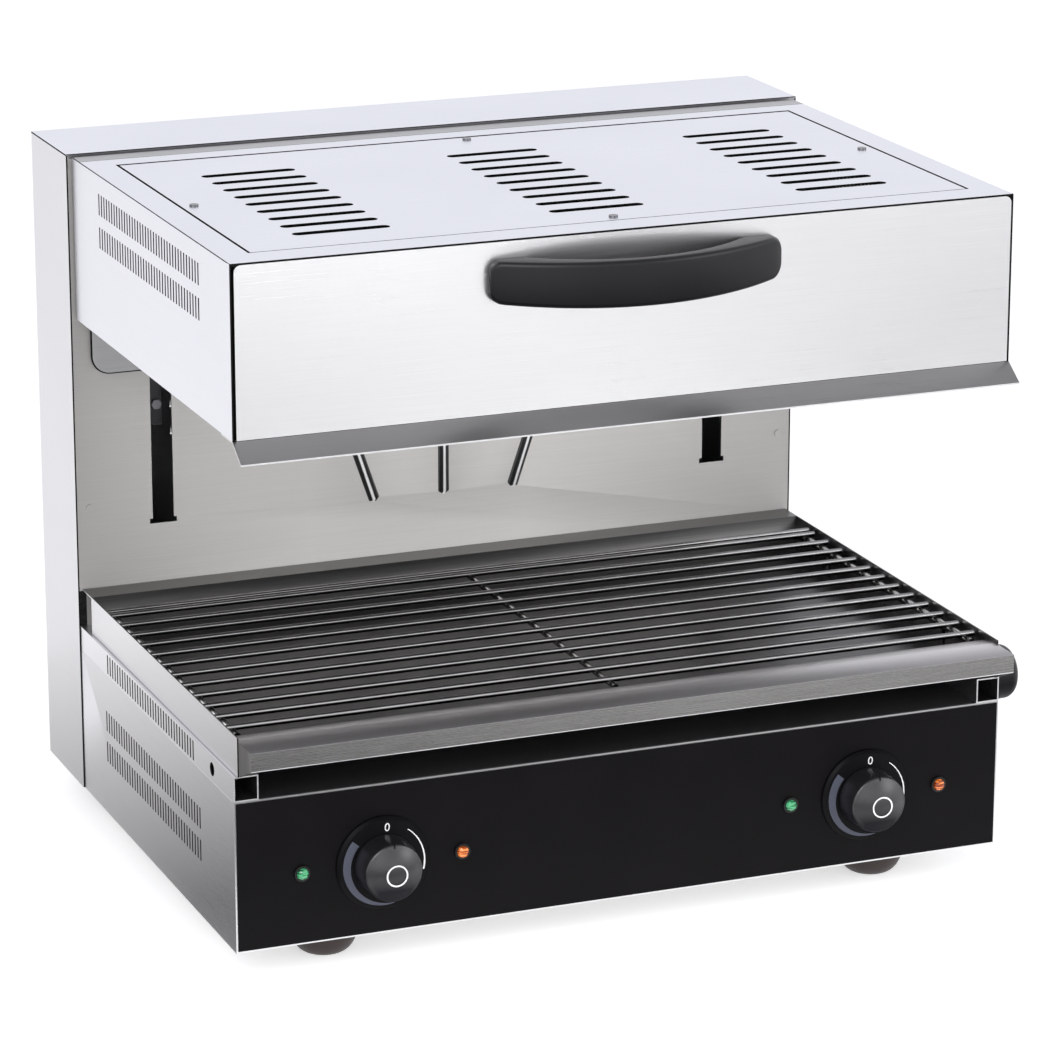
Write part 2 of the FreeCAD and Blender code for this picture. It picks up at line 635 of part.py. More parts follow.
def head_screws():
    """Screws of the lid and of the handle."""
    body = new_body("head_screws")
    top, back = head_top, head_front + d.skin
    for x, y in lid_screw_spots():
        pad(body, "XY", [(x, y, d.screw_head_radius)], top, top + d.screw_head_height)
        pad(body, "XY", [(x, y, d.screw_radius)], top - d.screw_length, top)
    for x, z in handle_screw_spots():
        pad(body, "XZ", [(x, z, d.screw_head_radius)], back, back + d.screw_head_height)
        pad(body, "XZ", [(x, z, d.screw_radius)], head_front - d.handle_thread, back)


def handle_screw_spots():
    x = d.handle_half_length - d.handle_foot / 2
    return [(hand * x, handle_low + d.handle_height / 2) for _, hand in SIDES]


def head_front_panel():
    """Front panel between the sides, with a return along each side and its lower edge."""
    body = new_body("head_front_panel")
    left, right = -head_inner + d.panel_gap_left, head_inner - d.panel_gap_right
    back, top = head_front + d.skin, head_top - d.skin - d.slide_gap
    pad(body, "XZ", [box_outline(left, right, head_low, top)], head_front, back)
    across = Vector(0, 1, 0)
    round_edges(body, d.panel_corner,
                lambda edge: runs_along(edge, across) and near(edge.CenterOfMass.z, top))
    returns = [box_outline(left, left + d.skin, back, head_front + d.panel_side_return),
               box_outline(right - d.skin, right, back, head_front + d.panel_side_return)]
    pad(body, "XY", returns, head_low, top - d.panel_corner)
    lower = box_outline(left, right, back, back + d.front_return)
    pad(body, "XY", [lower], head_low, head_low + d.skin)
    holes = [(x, z, d.screw_radius + d.screw_gap) for x, z in handle_screw_spots()]
    cut(body, "XZ", holes, head_front - d.overrun, back + d.overrun)


def visor_strip():
    """Folded strip under the front edge that leans forward and down."""
    body = new_body("visor_strip")
    rear = head_front + d.front_return
    tip, tip_z, t = head_front - d.visor_reach, head_low - d.visor_drop, d.skin
    points = [(rear, head_low), (head_front, head_low), (tip, tip_z), (tip, tip_z - t),
              (head_front, head_low - t), (rear, head_low - t)]
    pad(body, "YZ", [points], -d.head_half_width, d.head_half_width)


def rear_shield():
    body = new_body("rear_shield")
    w = shield_half_width
    pad(body, "XZ", [box_outline(-w, w, shield_low, shield_high)], -d.head_gap, shield_back)
    across = Vector(0, 1, 0)
    round_edges(body, d.shield_corner,
                lambda edge: runs_along(edge, across) and near(edge.CenterOfMass.z, shield_low))


def handle():
    """Bow handle: a curved band that springs from two feet."""
    body = new_body("front_handle")
    end, foot = d.handle_half_length, d.handle_half_length - d.handle_foot
    face = head_front
    points = [(-end, face), (-end, face - d.handle_end_reach), (end, face - d.handle_end_reach), (end, face),
              (foot, face), (-foot, face)]
    outer_rise = d.handle_reach - d.handle_end_reach
    low, high = handle_low, handle_low + d.handle_height
    pad(body, "XY", [points], low, high, {1: outer_rise, 4: -d.handle_gap_middle})
    across = Vector(0, 1, 0)
    round_edges(body, d.handle_corner,
                lambda edge: runs_along(edge, across) and near(abs(edge.CenterOfMass.x), end))
    outer_y = float(face - d.handle_gap_middle)
    round_edges(body, d.handle_round,
                lambda edge: edge.BoundBox.YMin < outer_y and edge.Length > float(d.handle_half_length))
    for x, z in handle_screw_spots():
        hole = (x, z, d.screw_radius + d.screw_gap)
        cut(body, "XZ", [hole], face - d.handle_thread - d.overrun, face + d.overrun)


def reflector():
    """Folded plate above the heaters."""
    body = new_body("reflector")
    front, rear = head_front + d.skin + d.reflector_inset, -d.head_gap - d.skin - d.reflector_inset
    top, low, t = reflector_z, reflector_z - d.reflector_flange, d.skin
    points = [(front, low), (front, top), (rear, top), (rear, low), (rear - t, low), (rear - t, top - t),
              (front + t, top - t), (front + t, low)]
    pad(body, "YZ", [points], -head_inner, head_inner)


def heater_legs(hand):
    """X places of a heater's four legs, from the outer one to the inner one."""
    return [hand * (d.heater_inner_x + 2 * heater_bend * step) for step in reversed(range(heater_bends + 1))]


def heater(name, hand):
    """Tubular heater that snakes to and fro, with both ends at the rear wall."""
    body = new_body(name)
    path = new_sketch(body, "XY", heater_z)
    rear_end, front, rear = -d.head_gap - d.skin, -d.heater_front, -d.heater_rear
    legs = heater_legs(hand)
    starts = [rear_end, front, rear, front]
    stops = [front, rear, front, rear_end]
    rules = []
    spots = []
    centres = []
    arc_ends = []
    for x, low, high in zip(legs, starts, stops):
        a, b = Vector(float(x), float(low), 0), Vector(float(x), float(high), 0)
        path.addGeometry(Part.LineSegment(a, b), False)
        geometry = path.GeometryCount - 1
        spots += [(geometry, 1, x, low), (geometry, 2, x, high)]
    for step in range(heater_bends):
        a, b, level = legs[step], legs[step + 1], stops[step]
        out = -1 if step % 2 == 0 else 1
        middle = (a + b) / 2
        begin, finish = Vector(float(a), float(level), 0), Vector(float(b), float(level), 0)
        crown = Vector(float(middle), float(level) + out * float(heater_bend), 0)
        path.addGeometry(Part.Arc(begin, crown, finish), False)
        geometry = path.GeometryCount - 1
        counter = (float(b) - float(a)) * out < 0
        arc_ends.append((geometry, (1, 2) if counter else (2, 1)))
        centres.append((geometry, level))
    for step, (geometry, ends) in enumerate(arc_ends):
        rules.append(Sketcher.Constraint("Coincident", geometry, ends[0], step, 2))
        rules.append(Sketcher.Constraint("Coincident", geometry, ends[1], step + 1, 1))
    path.addConstraint(rules)
    hold(path, spots)
    for geometry, level in centres:
        index = path.addConstraint(Sketcher.Constraint("DistanceY", -1, 1, geometry, 3, float(level)))
        bind(path, "Constraints[%d]" % index, level)
    ring = new_sketch(body, "XZ", rear_end)
    circle(ring, legs[0], heater_z, d.heater_radius)
    tube = body.newObject("PartDesign::AdditivePipe", "Tube")
    tube.Profile = ring
    tube.Spine = path
    tube.Transition = "Round corner"
    body.Tip = tube


def heater_brackets():
    body = new_body("heater_brackets")
    top = reflector_z - d.skin
    half_thick = d.bracket_thickness / 2
    sheet = box_outline(-head_inner, head_inner, bracket_low, top)
    radius = d.heater_radius + d.screw_gap
    holes = [(x, heater_z, radius) for _, hand in SIDES for x in heater_legs(hand)]
    for y in (-d.bracket_front_y, -d.bracket_rear_y):
        pad(body, "XZ", [sheet], y - half_thick, y + half_thick)
        cut(body, "XZ", holes, y - half_thick - d.overrun, y + half_thick + d.overrun)


# Base


def base_side(name, hand):
    """Side panel of the base with a front flange and two rows of vents."""
    body = new_body(name)
    outer, inner, tip = hand * base_half, hand * base_inner, hand * (base_inner - d.return_width)
    points = [(outer, panel_back), (outer, 0), (inner, 0), (inner, panel_back + d.skin),
              (tip, panel_back + d.skin), (tip, panel_back)]
    pad(body, "XY", [points], 0, d.base_height)
    drops = (d.base_vent_upper_drop, d.base_vent_lower_drop)
    bands = [(d.base_height - drop, d.base_vent_height) for drop in drops]
    side_vents(body, hand, base_half, d.base_vent_rear, bands, d.base_vent_count)


def base_bottom():
    body = new_body("base_bottom")
    inside = base_inner
    pad(body, "XY", [box_outline(-inside, inside, panel_back + d.skin, 0)], 0, d.skin)
    holes = [(hand * d.foot_x, -foot_front_y, d.screw_radius + d.screw_gap) for _, hand in SIDES]
    cut(body, "XY", holes, -d.overrun, d.skin + d.overrun)


def base_deck():
    body = new_body("base_deck")
    inside = base_inner
    sheet = box_outline(-inside, inside, panel_back + d.skin, 0)
    pad(body, "XY", [sheet], d.base_height - d.skin, d.base_height)


def panel_holes():
    """Places of the spindles and the pilot lights on the front."""
    spots = []
    for _, hand in SIDES:
        spots.append((hand * d.knob_x, knob_z, d.panel_hole_radius))
        spots.append((hand * d.pilot_inner_x, knob_z, d.lens_body_radius + d.screw_gap))
        spots.append((hand * d.pilot_outer_x, knob_z, d.lens_body_radius + d.screw_gap))
    return spots


def front_panel():
    body = new_body("front_panel")
    pad(body, "XZ", [box_outline(-base_half, base_half, 0, d.base_height)], panel_front, panel_back)
    cut(body, "XZ", panel_holes(), panel_front - d.overrun, panel_back + d.overrun)


def panel_fascia():
    body = new_body("panel_fascia")
    m = d.fascia_margin
    sheet = box_outline(-base_half + m, base_half - m, m, d.base_height - m)
    pad(body, "XZ", [sheet], fascia_front, panel_front)
    cut(body, "XZ", panel_holes(), fascia_front - d.overrun, panel_front + d.overrun)


def rail(name, hand):
    """Square tube that carries the tray, with vents and a hole in its outer wall."""
    body = new_body(name)
    low_x, high_x = base_half - d.rail_width, base_half
    if hand < 0:
        low_x, high_x = -base_half, -base_half + d.rail_width
    wall, low, high = d.rail_wall, d.base_height, rail_top
    bore = box_outline(low_x + wall, high_x - wall, low + wall, high - wall)
    pad(body, "XZ", [box_outline(low_x, high_x, low, high), bore], panel_front, 0)
    bands = [(rail_vent_low, d.rail_vent_height)]
    side_vents(body, hand, base_half, d.rail_vent_rear, bands, d.rail_vent_count)
    wall_low, wall_high = high_x - wall - d.overrun, high_x + d.overrun
    hole, level = d.screw_radius + d.screw_gap, bumper_z
    if hand < 0:
        wall_low, wall_high = low_x - d.overrun, low_x + wall + d.overrun
        hole, level = d.rail_hole_radius, d.base_height + d.rail_hole_rise
    cut(body, "YZ", [(-bumper_y, level, hole)], wall_low, wall_high)


def side_bumper():
    """Round moulded bumper on the right rail, with its screw sunk in a recess."""
    body = new_body("side_bumper")
    length, r = d.bumper_length, d.bumper_round
    recess = length - d.bumper_recess_depth
    hole = d.screw_radius + d.screw_gap
    tip = d.bumper_tip_radius
    points = [(0, hole), (0, d.bumper_radius), (length - r, tip), (length, tip - r),
              (length, d.bumper_recess_radius), (recess, d.bumper_recess_radius), (recess, hole)]
    rise_share = 0.29289
    turn(body, "X", (base_half, -bumper_y, bumper_z), points, {2: -r * rise_share})


def dial(name, hand):
    """Fixed dial disc around a knob."""
    body = new_body(name)
    low = -d.dial_thickness
    points = [(d.panel_hole_radius, 0), (d.panel_hole_radius, low), (d.dial_radius - d.dial_bevel, low),
              (d.dial_radius, low + d.dial_bevel), (d.dial_radius, 0)]
    turn(body, "Y", (hand * d.knob_x, fascia_front, knob_z), points)


def knob(name, hand):
    """Domed grip with a pointer notch at its top."""
    body = new_body(name)
    start = -d.dial_thickness - d.knob_gap
    face = -d.grip_reach
    hole = d.spindle_radius
    socket = start - d.spindle_socket
    points = [(0, socket), (hole, socket), (hole, start), (d.grip_radius, start),
              (d.grip_radius, face + d.grip_shoulder), (d.grip_face_radius, face + d.grip_crown), (0, face)]
    turn(body, "Y", (hand * d.knob_x, fascia_front, knob_z), points)
    x, top = hand * d.knob_x, knob_z + d.grip_radius
    depth = d.grip_radius - d.grip_face_radius + d.notch_depth
    notch = box_outline(x - d.notch_width / 2, x + d.notch_width / 2, top - depth, top + d.overrun)
    cut(body, "XZ", [notch], fascia_front + face - d.overrun, fascia_front + face + d.grip_shoulder)


def spindle(name, hand):
    body = new_body(name)
    front = fascia_front - d.dial_thickness - d.knob_gap - d.spindle_socket
    pad(body, "XZ", [(hand * d.knob_x, knob_z, d.spindle_radius)], front, front + d.spindle_length)


def thermostat(name, hand):
    """Control body behind the panel, with a bored neck for the spindle."""
    body = new_body(name)
    x, z = hand * d.knob_x, knob_z
    neck_end = panel_back + d.thermostat_neck_length
    pad(body, "XZ", [(x, z, d.thermostat_neck_radius)], panel_back, neck_end)
    w, h = d.thermostat_width / 2, d.thermostat_height / 2
    pad(body, "XZ", [box_outline(x - w, x + w, z - h, z + h)], neck_end, neck_end + d.thermostat_depth)
    bore = (x, z, d.spindle_radius + d.fit_gap)
    cut(body, "XZ", [bore], panel_back - d.overrun, neck_end + d.thermostat_depth / 2)


def pilot_light(name, x):
    """Indicator with a domed lens and a body behind the panel."""
    body = new_body(name)
    rim, neck = d.lens_radius, d.lens_body_radius
    points = [(0, d.lens_body_length), (neck, d.lens_body_length), (neck, 0), (rim, 0),
              (rim, -d.lens_reach / 2), (rim / 2, -d.lens_reach), (0, -d.lens_reach)]
    turn(body, "Y", (x, fascia_front, knob_z), points)


def pilot_rings():
    body = new_body("pilot_rings")
    inner = d.lens_radius + d.fit_gap
    for _, hand in SIDES:
        for place in (d.pilot_inner_x, d.pilot_outer_x):
            rings = [(hand * place, knob_z, inner + d.pilot_ring_width), (hand * place, knob_z, inner)]
            pad(body, "XZ", rings, fascia_front - d.pilot_ring_reach, fascia_front)


def foot(name, x, y):
    """Round rubber foot with its screw sunk in a recess."""
    body = new_body(name)
    low, r = -d.foot_height, d.foot_round
    recess = low + d.foot_recess_depth
    hole = d.screw_radius + d.screw_gap
    tip, wide, mouth = d.foot_tip_radius, d.foot_radius, d.foot_recess_radius
    points = [(hole, 0), (hole, recess), (mouth, recess), (mouth, low), (tip - r, low), (tip, low + r),
              (wide, -r), (wide, 0)]
    turn(body, "Z", (x, y, 0), points)


def foot_spots():
    spots = []
    for name, hand in SIDES:
        spots.append(("foot_front_" + name, hand * d.foot_x, -foot_front_y, d.skin))
        spots.append(("foot_rear_" + name, hand * d.foot_x, d.foot_rear_y, d.member_thickness))
    return spots


def casing_screws():
    """Screws of the feet, the bumper and the back plate, as one group."""
    body = new_body("casing_screws")
    for _, x, y, thick in foot_spots():
        low = -d.foot_height + d.foot_recess_depth
        pad(body, "XY", [(x, y, d.foot_screw_head_radius)], low - d.foot_screw_head_height, low)
        pad(body, "XY", [(x, y, d.screw_radius)], low, thick)
    head = base_half + d.bumper_length - d.bumper_recess_depth
    spot = (-bumper_y, bumper_z)
    pad(body, "YZ", [spot + (d.foot_screw_head_radius,)], head, head + d.foot_screw_head_height)
    pad(body, "YZ", [spot + (d.screw_radius,)], base_half - d.screw_length, head)
    for _, hand in SIDES:
        x, z = hand * d.plate_screw_x, d.plate_screw_z
        pad(body, "XZ", [(x, z, d.plate_screw_head_radius)], -d.plate_screw_head_height, 0)
        pad(body, "XZ", [(x, z, d.plate_screw_radius)], 0, d.skin * 2)


def cable_gland():
    """Cable entry in the rear cover: a collar outside, a neck through the sheet and a nut inside."""
    body = new_body("cable_gland")
    bore, neck, r = d.gland_bore, d.gland_neck_radius - d.fit_gap, d.gland_radius
    inside, tip = -d.skin, d.gland_reach
    nut = inside - d.gland_nut
    points = [(bore, nut), (r, nut), (r, inside), (neck, inside), (neck, 0), (r, 0), (r, d.gland_collar),
              (neck, tip), (bore, tip)]
    turn(body, "Y", (d.gland_x, d.column_depth, d.gland_z), points)


def terminal_block():
    body = new_body("terminal_block")
    x, y = d.terminal_width / 2, -d.terminal_y
    low = d.skin
    base = box_outline(-x, x, y - d.terminal_depth / 2, y + d.terminal_depth / 2)
    pad(body, "XY", [base], low, low + d.terminal_height / 2)
    ridge = box_outline(-x, x, y - d.terminal_depth / 4, y + d.terminal_depth / 4)
    pad(body, "XY", [ridge], low + d.terminal_height / 2, low + d.terminal_height)


# Tray and rack


def drip_tray():
    """Shallow pan with a rear rim and a folded front lip that is open below."""
    body = new_body("drip_tray")
    w, t = d.tray_half_width, d.tray_wall
    lip_top = tray_top - d.lip_drop
    face_low = lip_top - d.lip_face_height
    front = -d.tray_side_front
    side = [(-d.tray_rear, tray_low), (-d.tray_rear, tray_top), (front, tray_top), (front, tray_low)]
    pad(body, "YZ", [side], -w, w)
    lip = [(front, tray_low), (front, lip_top), (-d.lip_front, lip_top), (-d.lip_front, face_low)]
    pad(body, "YZ", [lip], -w + d.lip_end_gap, w - d.lip_end_gap)
    ramp_low = lip_top - d.ramp_drop
    high = tray_top + d.overrun
    pan = [(-d.tray_rear - t, high), (-d.tray_rear - t, tray_floor), (-d.ramp_rear, tray_floor),
           (-d.ramp_rear, ramp_low), (-d.ramp_front, lip_top), (-d.tray_side_front - t, lip_top),
           (-d.tray_side_front - t, high)]
    cut(body, "YZ", [pan], -w + t, w - t)
    wall = -d.ramp_rear - t
    under = tray_low - d.overrun
    lip_back = -d.lip_front + t
    hollow = [(wall, under), (wall, ramp_low - t), (-d.ramp_front, lip_top - t), (lip_back, lip_top - t),
              (lip_back, under)]
    inside = w - d.lip_end_gap - t
    cut(body, "YZ", [hollow], -inside, inside)
    rim = box_outline(-w, w, -d.tray_rear, -d.tray_rim_end)
    pad(body, "XY", [rim], tray_top - t, tray_top)


def wire_rack():
    """Welded wire rack: a frame wire, a middle wire, cross wires and four legs."""
    body = new_body("wire_rack")
    wire_top = tray_low + d.rack_wire_top
    wire_z = wire_top - d.rack_wire_radius
    frame_top = wire_top - 2 * d.rack_wire_radius + d.rack_weld
    frame_z = frame_top - d.rack_frame_radius
    x, rear, front, r = d.rack_frame_x, -d.rack_frame_rear, -d.rack_frame_front, d.rack_corner
    path = new_sketch(body, "XY", frame_z)
    lines = [((-x, front), (-x, rear - r)), ((-x + r, rear), (x - r, rear)), ((x, rear - r), (x, front))]
    for a, b in lines:
        path.addGeometry(Part.LineSegment(flat_vector(a), flat_vector(b)), False)
    starts = [(i, 1, *a) for i, (a, b) in enumerate(lines)]
    hold(path, starts + [(i, 2, *b) for i, (a, b) in enumerate(lines)])
    for step, hand in ((0, -1), (1, 1)):
        a, b = lines[step][1], lines[step + 1][0]
        slant_share = 0.70711
        crown = Vector(float(hand * (x - r)) + hand * float(r) * slant_share,
                       float(rear - r) + float(r) * slant_share, 0)
        path.addGeometry(Part.Arc(flat_vector(a), crown, flat_vector(b)), False)
        geometry = path.GeometryCount - 1
        path.addConstraint([Sketcher.Constraint("Coincident", geometry, 2, step, 2),
                            Sketcher.Constraint("Coincident", geometry, 1, step + 1, 1)])
        index = path.addConstraint(Sketcher.Constraint("Radius", geometry, float(r)))
        bind(path, "Constraints[%d]" % index, r)
    ring = new_sketch(body, "XZ", front)
    circle(ring, -x, frame_z, d.rack_frame_radius)
    frame = body.newObject("PartDesign::AdditivePipe", "Frame")
    frame.Profile = ring
    frame.Spine = path
    body.Tip = frame
    reach, wire = d.rack_half_width, d.rack_wire_radius
    pad(body, "YZ", [(-d.rack_first_wire, wire_z, wire)], -reach, reach)
    row = pad(body, "YZ", [(-d.rack_wire_rear, wire_z, wire)], -reach, reach)
    repeat(body, [row], "Y", d.rack_wire_pitch, d.rack_wire_count, backwards=True)
    middle_z = wire_z - 2 * wire + d.rack_weld
    pad(body, "XZ", [(term(0), middle_z, wire)], front, rear)
    for y in (-d.rack_leg_rear, -d.rack_leg_front):
        legs = [(hand * x, y, wire) for _, hand in SIDES]
        pad(body, "XY", legs, tray_floor + d.slide_gap, frame_z - d.rack_frame_radius - d.fit_gap)


def build():
    for name, hand in SIDES:
        column_side("column_side_" + name, hand)
    column_top_cap()
    back_plate()
    column_rear_cover()
    lower = cross_member("lower_crossmember", 0)
    holes = [(x, y, d.screw_radius + d.screw_gap) for name, x, y, _ in foot_spots() if "rear" in name]
    cut(lower, "XY", holes, -d.overrun, d.member_thickness + d.overrun)
    cross_member("upper_crossmember", upper_member_z)
    stop_collars()
    for name, hand in SIDES:
        guide_rod("guide_rod_" + name, hand)
        carriage("carriage_" + name, hand)
        strut_tube("strut_tube_" + name, hand)
    guide_bushes()
    strut_rods()
    carriage_bolts()
    lift_crossbar()
    head_shell()
    head_front_panel()
    head_lid()
    head_screws()
    visor_strip()
    rear_shield()
    handle()
    reflector()
    for name, hand in SIDES:
        heater("heater_" + name, hand)
    heater_brackets()
    base_bottom()
    base_deck()
    front_panel()
    panel_fascia()
    for name, hand in SIDES:
        base_side("base_side_" + name, hand)
        rail("rail_" + name, hand)
        dial("dial_" + name, hand)
        knob("knob_" + name, hand)
        spindle("spindle_" + name, hand)
        thermostat("thermostat_" + name, hand)
    pilot_light("pilot_green_left", -d.pilot_outer_x)
    pilot_light("pilot_amber_left", -d.pilot_inner_x)
    pilot_light("pilot_green_right", d.pilot_inner_x)
    pilot_light("pilot_amber_right", d.pilot_outer_x)
    pilot_rings()
    side_bumper()
    for name, x, y, _ in foot_spots():
        foot(name, x, y)
    casing_screws()
    cable_gland()
    terminal_block()
    drip_tray()
    wire_rack()


def check():
    """Stop on a failed feature, a cut that removes nothing or a bad shape."""
    for item in doc.Objects:
        if "Invalid" in item.State or "Error" in item.State:
            raise RuntimeError("failed feature %s in %s" % (item.Name, item.Label))
    for feature in cuts:
        if feature.Shape.Volume >= feature.BaseFeature.Shape.Volume:
            raise RuntimeError("a cut removes nothing: " + feature.Name)
    for body in parts:
        if body.Shape.isNull() or not body.Shape.isValid():
            raise RuntimeError("bad shape: " + body.Label)


build()
doc.recompute()
check()
os.makedirs("parts", exist_ok=True)
for body in parts:
    body.Shape.exportStep("parts/%s.step" % body.Label)
print("%d sub-parts" % len(parts))
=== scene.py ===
import json
import math

import bmesh
import bpy
from mathutils import Matrix, Vector


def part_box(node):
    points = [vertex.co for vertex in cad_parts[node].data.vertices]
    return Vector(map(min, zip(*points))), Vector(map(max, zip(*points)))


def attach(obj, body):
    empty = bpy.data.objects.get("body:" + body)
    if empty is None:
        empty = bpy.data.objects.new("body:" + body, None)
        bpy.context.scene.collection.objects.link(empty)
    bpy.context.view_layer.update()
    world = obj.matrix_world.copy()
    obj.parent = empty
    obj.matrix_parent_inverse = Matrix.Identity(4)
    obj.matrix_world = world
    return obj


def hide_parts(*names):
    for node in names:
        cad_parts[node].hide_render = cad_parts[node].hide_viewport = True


# The dressed cheese melter. Lengths are in metres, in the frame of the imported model.

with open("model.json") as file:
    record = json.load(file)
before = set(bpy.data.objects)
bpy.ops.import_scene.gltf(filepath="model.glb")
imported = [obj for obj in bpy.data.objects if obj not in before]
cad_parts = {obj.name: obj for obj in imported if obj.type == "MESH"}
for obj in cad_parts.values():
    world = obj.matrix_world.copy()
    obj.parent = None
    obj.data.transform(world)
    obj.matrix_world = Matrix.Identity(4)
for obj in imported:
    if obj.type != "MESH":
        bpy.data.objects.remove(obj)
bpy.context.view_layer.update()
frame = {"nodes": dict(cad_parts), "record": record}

MM = 0.001
BODY_OF = {node: body for body, nodes in frame["record"]["behaviour"]["bodies"].items() for node in nodes}
SLOT_OF = {part["node"]: part["material_slot"] for part in frame["record"]["subparts"]}
SIDES = (("left", -1), ("right", 1))
AXES = {"x": Vector((1, 0, 0)), "y": Vector((0, 1, 0)), "z": Vector((0, 0, 1))}


def low(node):
    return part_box(node)[0]


def high(node):
    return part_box(node)[1]


def middle_of(node, axis):
    """Middle of a node's box along an axis, by its letter."""
    return (getattr(low(node), axis) + getattr(high(node), axis)) / 2


def half_width(node):
    return (high(node).x - low(node).x) / 2


# Levels and planes that the pieces below are placed from.
MIDDLE_X = middle_of("back_plate", "x")
COLUMN_FRONT = low("column_side_left").y
BASE_LOW = low("column_side_left").z
FLOOR_Z = low("foot_front_left").z


# Materials

# Noise scales, in cycles per metre.
BRUSH_ALONG = 14.0
BRUSH_ACROSS = 2600.0
SHEEN_PATCH = 9.0
MOULD_GRAIN = 1400.0
MOULD_PATCH = 22.0
PLATED_CLOUD = 60.0
LENS_CORE = (120.0, 120.0, 900.0)
BEAD_WEAR = (900.0, 900.0, 40.0)
SHADOW_MOTTLE = 300.0
FLOOR_PATCH = 3.0


def node_tree(name):
    """Start a node material and return it with its tree and shader."""
    material = bpy.data.materials.new(name)
    material.use_nodes = True
    tree = material.node_tree
    shader = tree.nodes["Principled BSDF"]
    return material, tree, shader


def add(tree, kind, inputs=None, **settings):
    """Add a node with its settings and its inputs, each a value or a socket."""
    node = tree.nodes.new(kind)
    for key, value in settings.items():
        setattr(node, key, value)
    for key, value in (inputs or {}).items():
        if isinstance(value, bpy.types.NodeSocket):
            tree.links.new(value, node.inputs[key])
        else:
            node.inputs[key].default_value = value
    return node


def calculate(tree, operation, *values):
    """Add a math node over values or sockets."""
    return add(tree, "ShaderNodeMath", dict(enumerate(values)), operation=operation).outputs[0]


def component(tree, vector, axis):
    """One axis of a vector, by its capital letter."""
    return add(tree, "ShaderNodeSeparateXYZ", {"Vector": vector}).outputs[axis]


def share_between(tree, value, start, stop):
    """Place of a value between start, which gives 0, and stop, which gives 1."""
    return add(tree, "ShaderNodeMapRange", {"Value": value, "From Min": start, "From Max": stop}).outputs[0]


def ramp(tree, factor, stops):
    """Add a colour ramp with stops of (position, grey or colour)."""
    node = add(tree, "ShaderNodeValToRGB", {"Fac": factor})
    elements = node.color_ramp.elements
    while len(elements) < len(stops):
        elements.new(0.5)
    for element, (place, shade) in zip(elements, stops):
        element.position = place
        colour = (shade, shade, shade) if isinstance(shade, (int, float)) else shade
        element.color = (*colour, 1)
    return node.outputs["Color"]


def object_noise(tree, scale, detail=2.0):
    """Noise in object space, with one scale or one along each axis."""
    place = add(tree, "ShaderNodeTexCoord").outputs["Object"]
    scales = (scale, scale, scale) if isinstance(scale, float) else scale
    stretched = add(tree, "ShaderNodeMapping", {"Vector": place, "Scale": scales}).outputs["Vector"]
    noise = add(tree, "ShaderNodeTexNoise", {"Vector": stretched, "Scale": 1.0, "Detail": detail})
    return noise.outputs["Fac"]


def colour_by(tree, shader, pattern, stops):
    """Drive the base colour by a pattern through a ramp."""
    tree.links.new(ramp(tree, pattern, stops), shader.inputs["Base Color"])


def tone_down(tree, shader, painted_light):
    """Multiply what drives the base colour by painted light and shade."""
    before = shader.inputs["Base Color"].links[0].from_socket
    mix = add(tree, "ShaderNodeMix", {"Factor": 1.0}, data_type="RGBA", blend_type="MULTIPLY")
    tree.links.new(before, mix.inputs["A"])
    tree.links.new(painted_light, mix.inputs["B"])
    tree.links.new(mix.outputs["Result"], shader.inputs["Base Color"])


def vary_roughness(tree, shader, swing, lowest):
    """Let the roughness rise from its lowest value by a swing."""
    tree.links.new(calculate(tree, "ADD", swing, lowest), shader.inputs["Roughness"])


def emboss(tree, shader, pattern, strength, depth):
    """Give the surface fine relief from a pattern."""
    bump = add(tree, "ShaderNodeBump", {"Height": pattern, "Strength": strength, "Distance": depth})
    tree.links.new(bump.outputs["Normal"], shader.inputs["Normal"])


def brushed(name, shade, roughness, along, streaks=0.02, metallic=1.0):
    """Brushed sheet: long fine streaks along one axis over slow patches of sheen."""
    material, tree, shader = node_tree(name)
    grain = object_noise(tree, tuple(BRUSH_ALONG if axis == along else BRUSH_ACROSS for axis in "XYZ"))
    patch = object_noise(tree, SHEEN_PATCH)
    base = Vector(shade)
    dark = tuple(base * (1 - streaks * 2))
    light = tuple(min(1.0, v * (1 + streaks)) for v in base)
    colour_by(tree, shader, grain, [(0.25, dark), (0.75, light)])
    fine_swing = calculate(tree, "MULTIPLY", grain, 0.10)
    slow_swing = calculate(tree, "MULTIPLY", patch, 0.06)
    vary_roughness(tree, shader, calculate(tree, "ADD", fine_swing, slow_swing), lowest=roughness - 0.08)
    emboss(tree, shader, grain, strength=0.02, depth=0.2 * MM)
    shader.inputs["Metallic"].default_value = metallic
    return material


def moulded(name, colour, roughness, relief=0.08, gloss=0.5):
    """Moulded plastic, rubber or paint with a fine surface texture and slow changes of sheen."""
    material, tree, shader = node_tree(name)
    patch = object_noise(tree, MOULD_PATCH, detail=3.0)
    dull, clean = tuple(Vector(colour) * 0.9), tuple(Vector(colour) * 1.08)
    colour_by(tree, shader, patch, [(0.3, dull), (0.7, clean)])
    vary_roughness(tree, shader, calculate(tree, "MULTIPLY", patch, 0.08), lowest=roughness - 0.04)
    emboss(tree, shader, object_noise(tree, MOULD_GRAIN), strength=relief, depth=0.1 * MM)
    shader.inputs["Specular IOR Level"].default_value = gloss
    return material


def domed(name, colour, roughness, stops):
    """Moulded plastic with a painted sheen: its gloss follows the upward tilt of its surface, so upward faces
    reflect strongly and downward ones weakly.
    """
    material = moulded(name, colour, roughness, relief=0.04)
    tree = material.node_tree
    upward = component(tree, add(tree, "ShaderNodeNewGeometry").outputs["Normal"], "Z")
    gloss = ramp(tree, share_between(tree, upward, -1.0, 1.0), stops)
    tree.links.new(gloss, tree.nodes["Principled BSDF"].inputs["Specular IOR Level"])
    return material


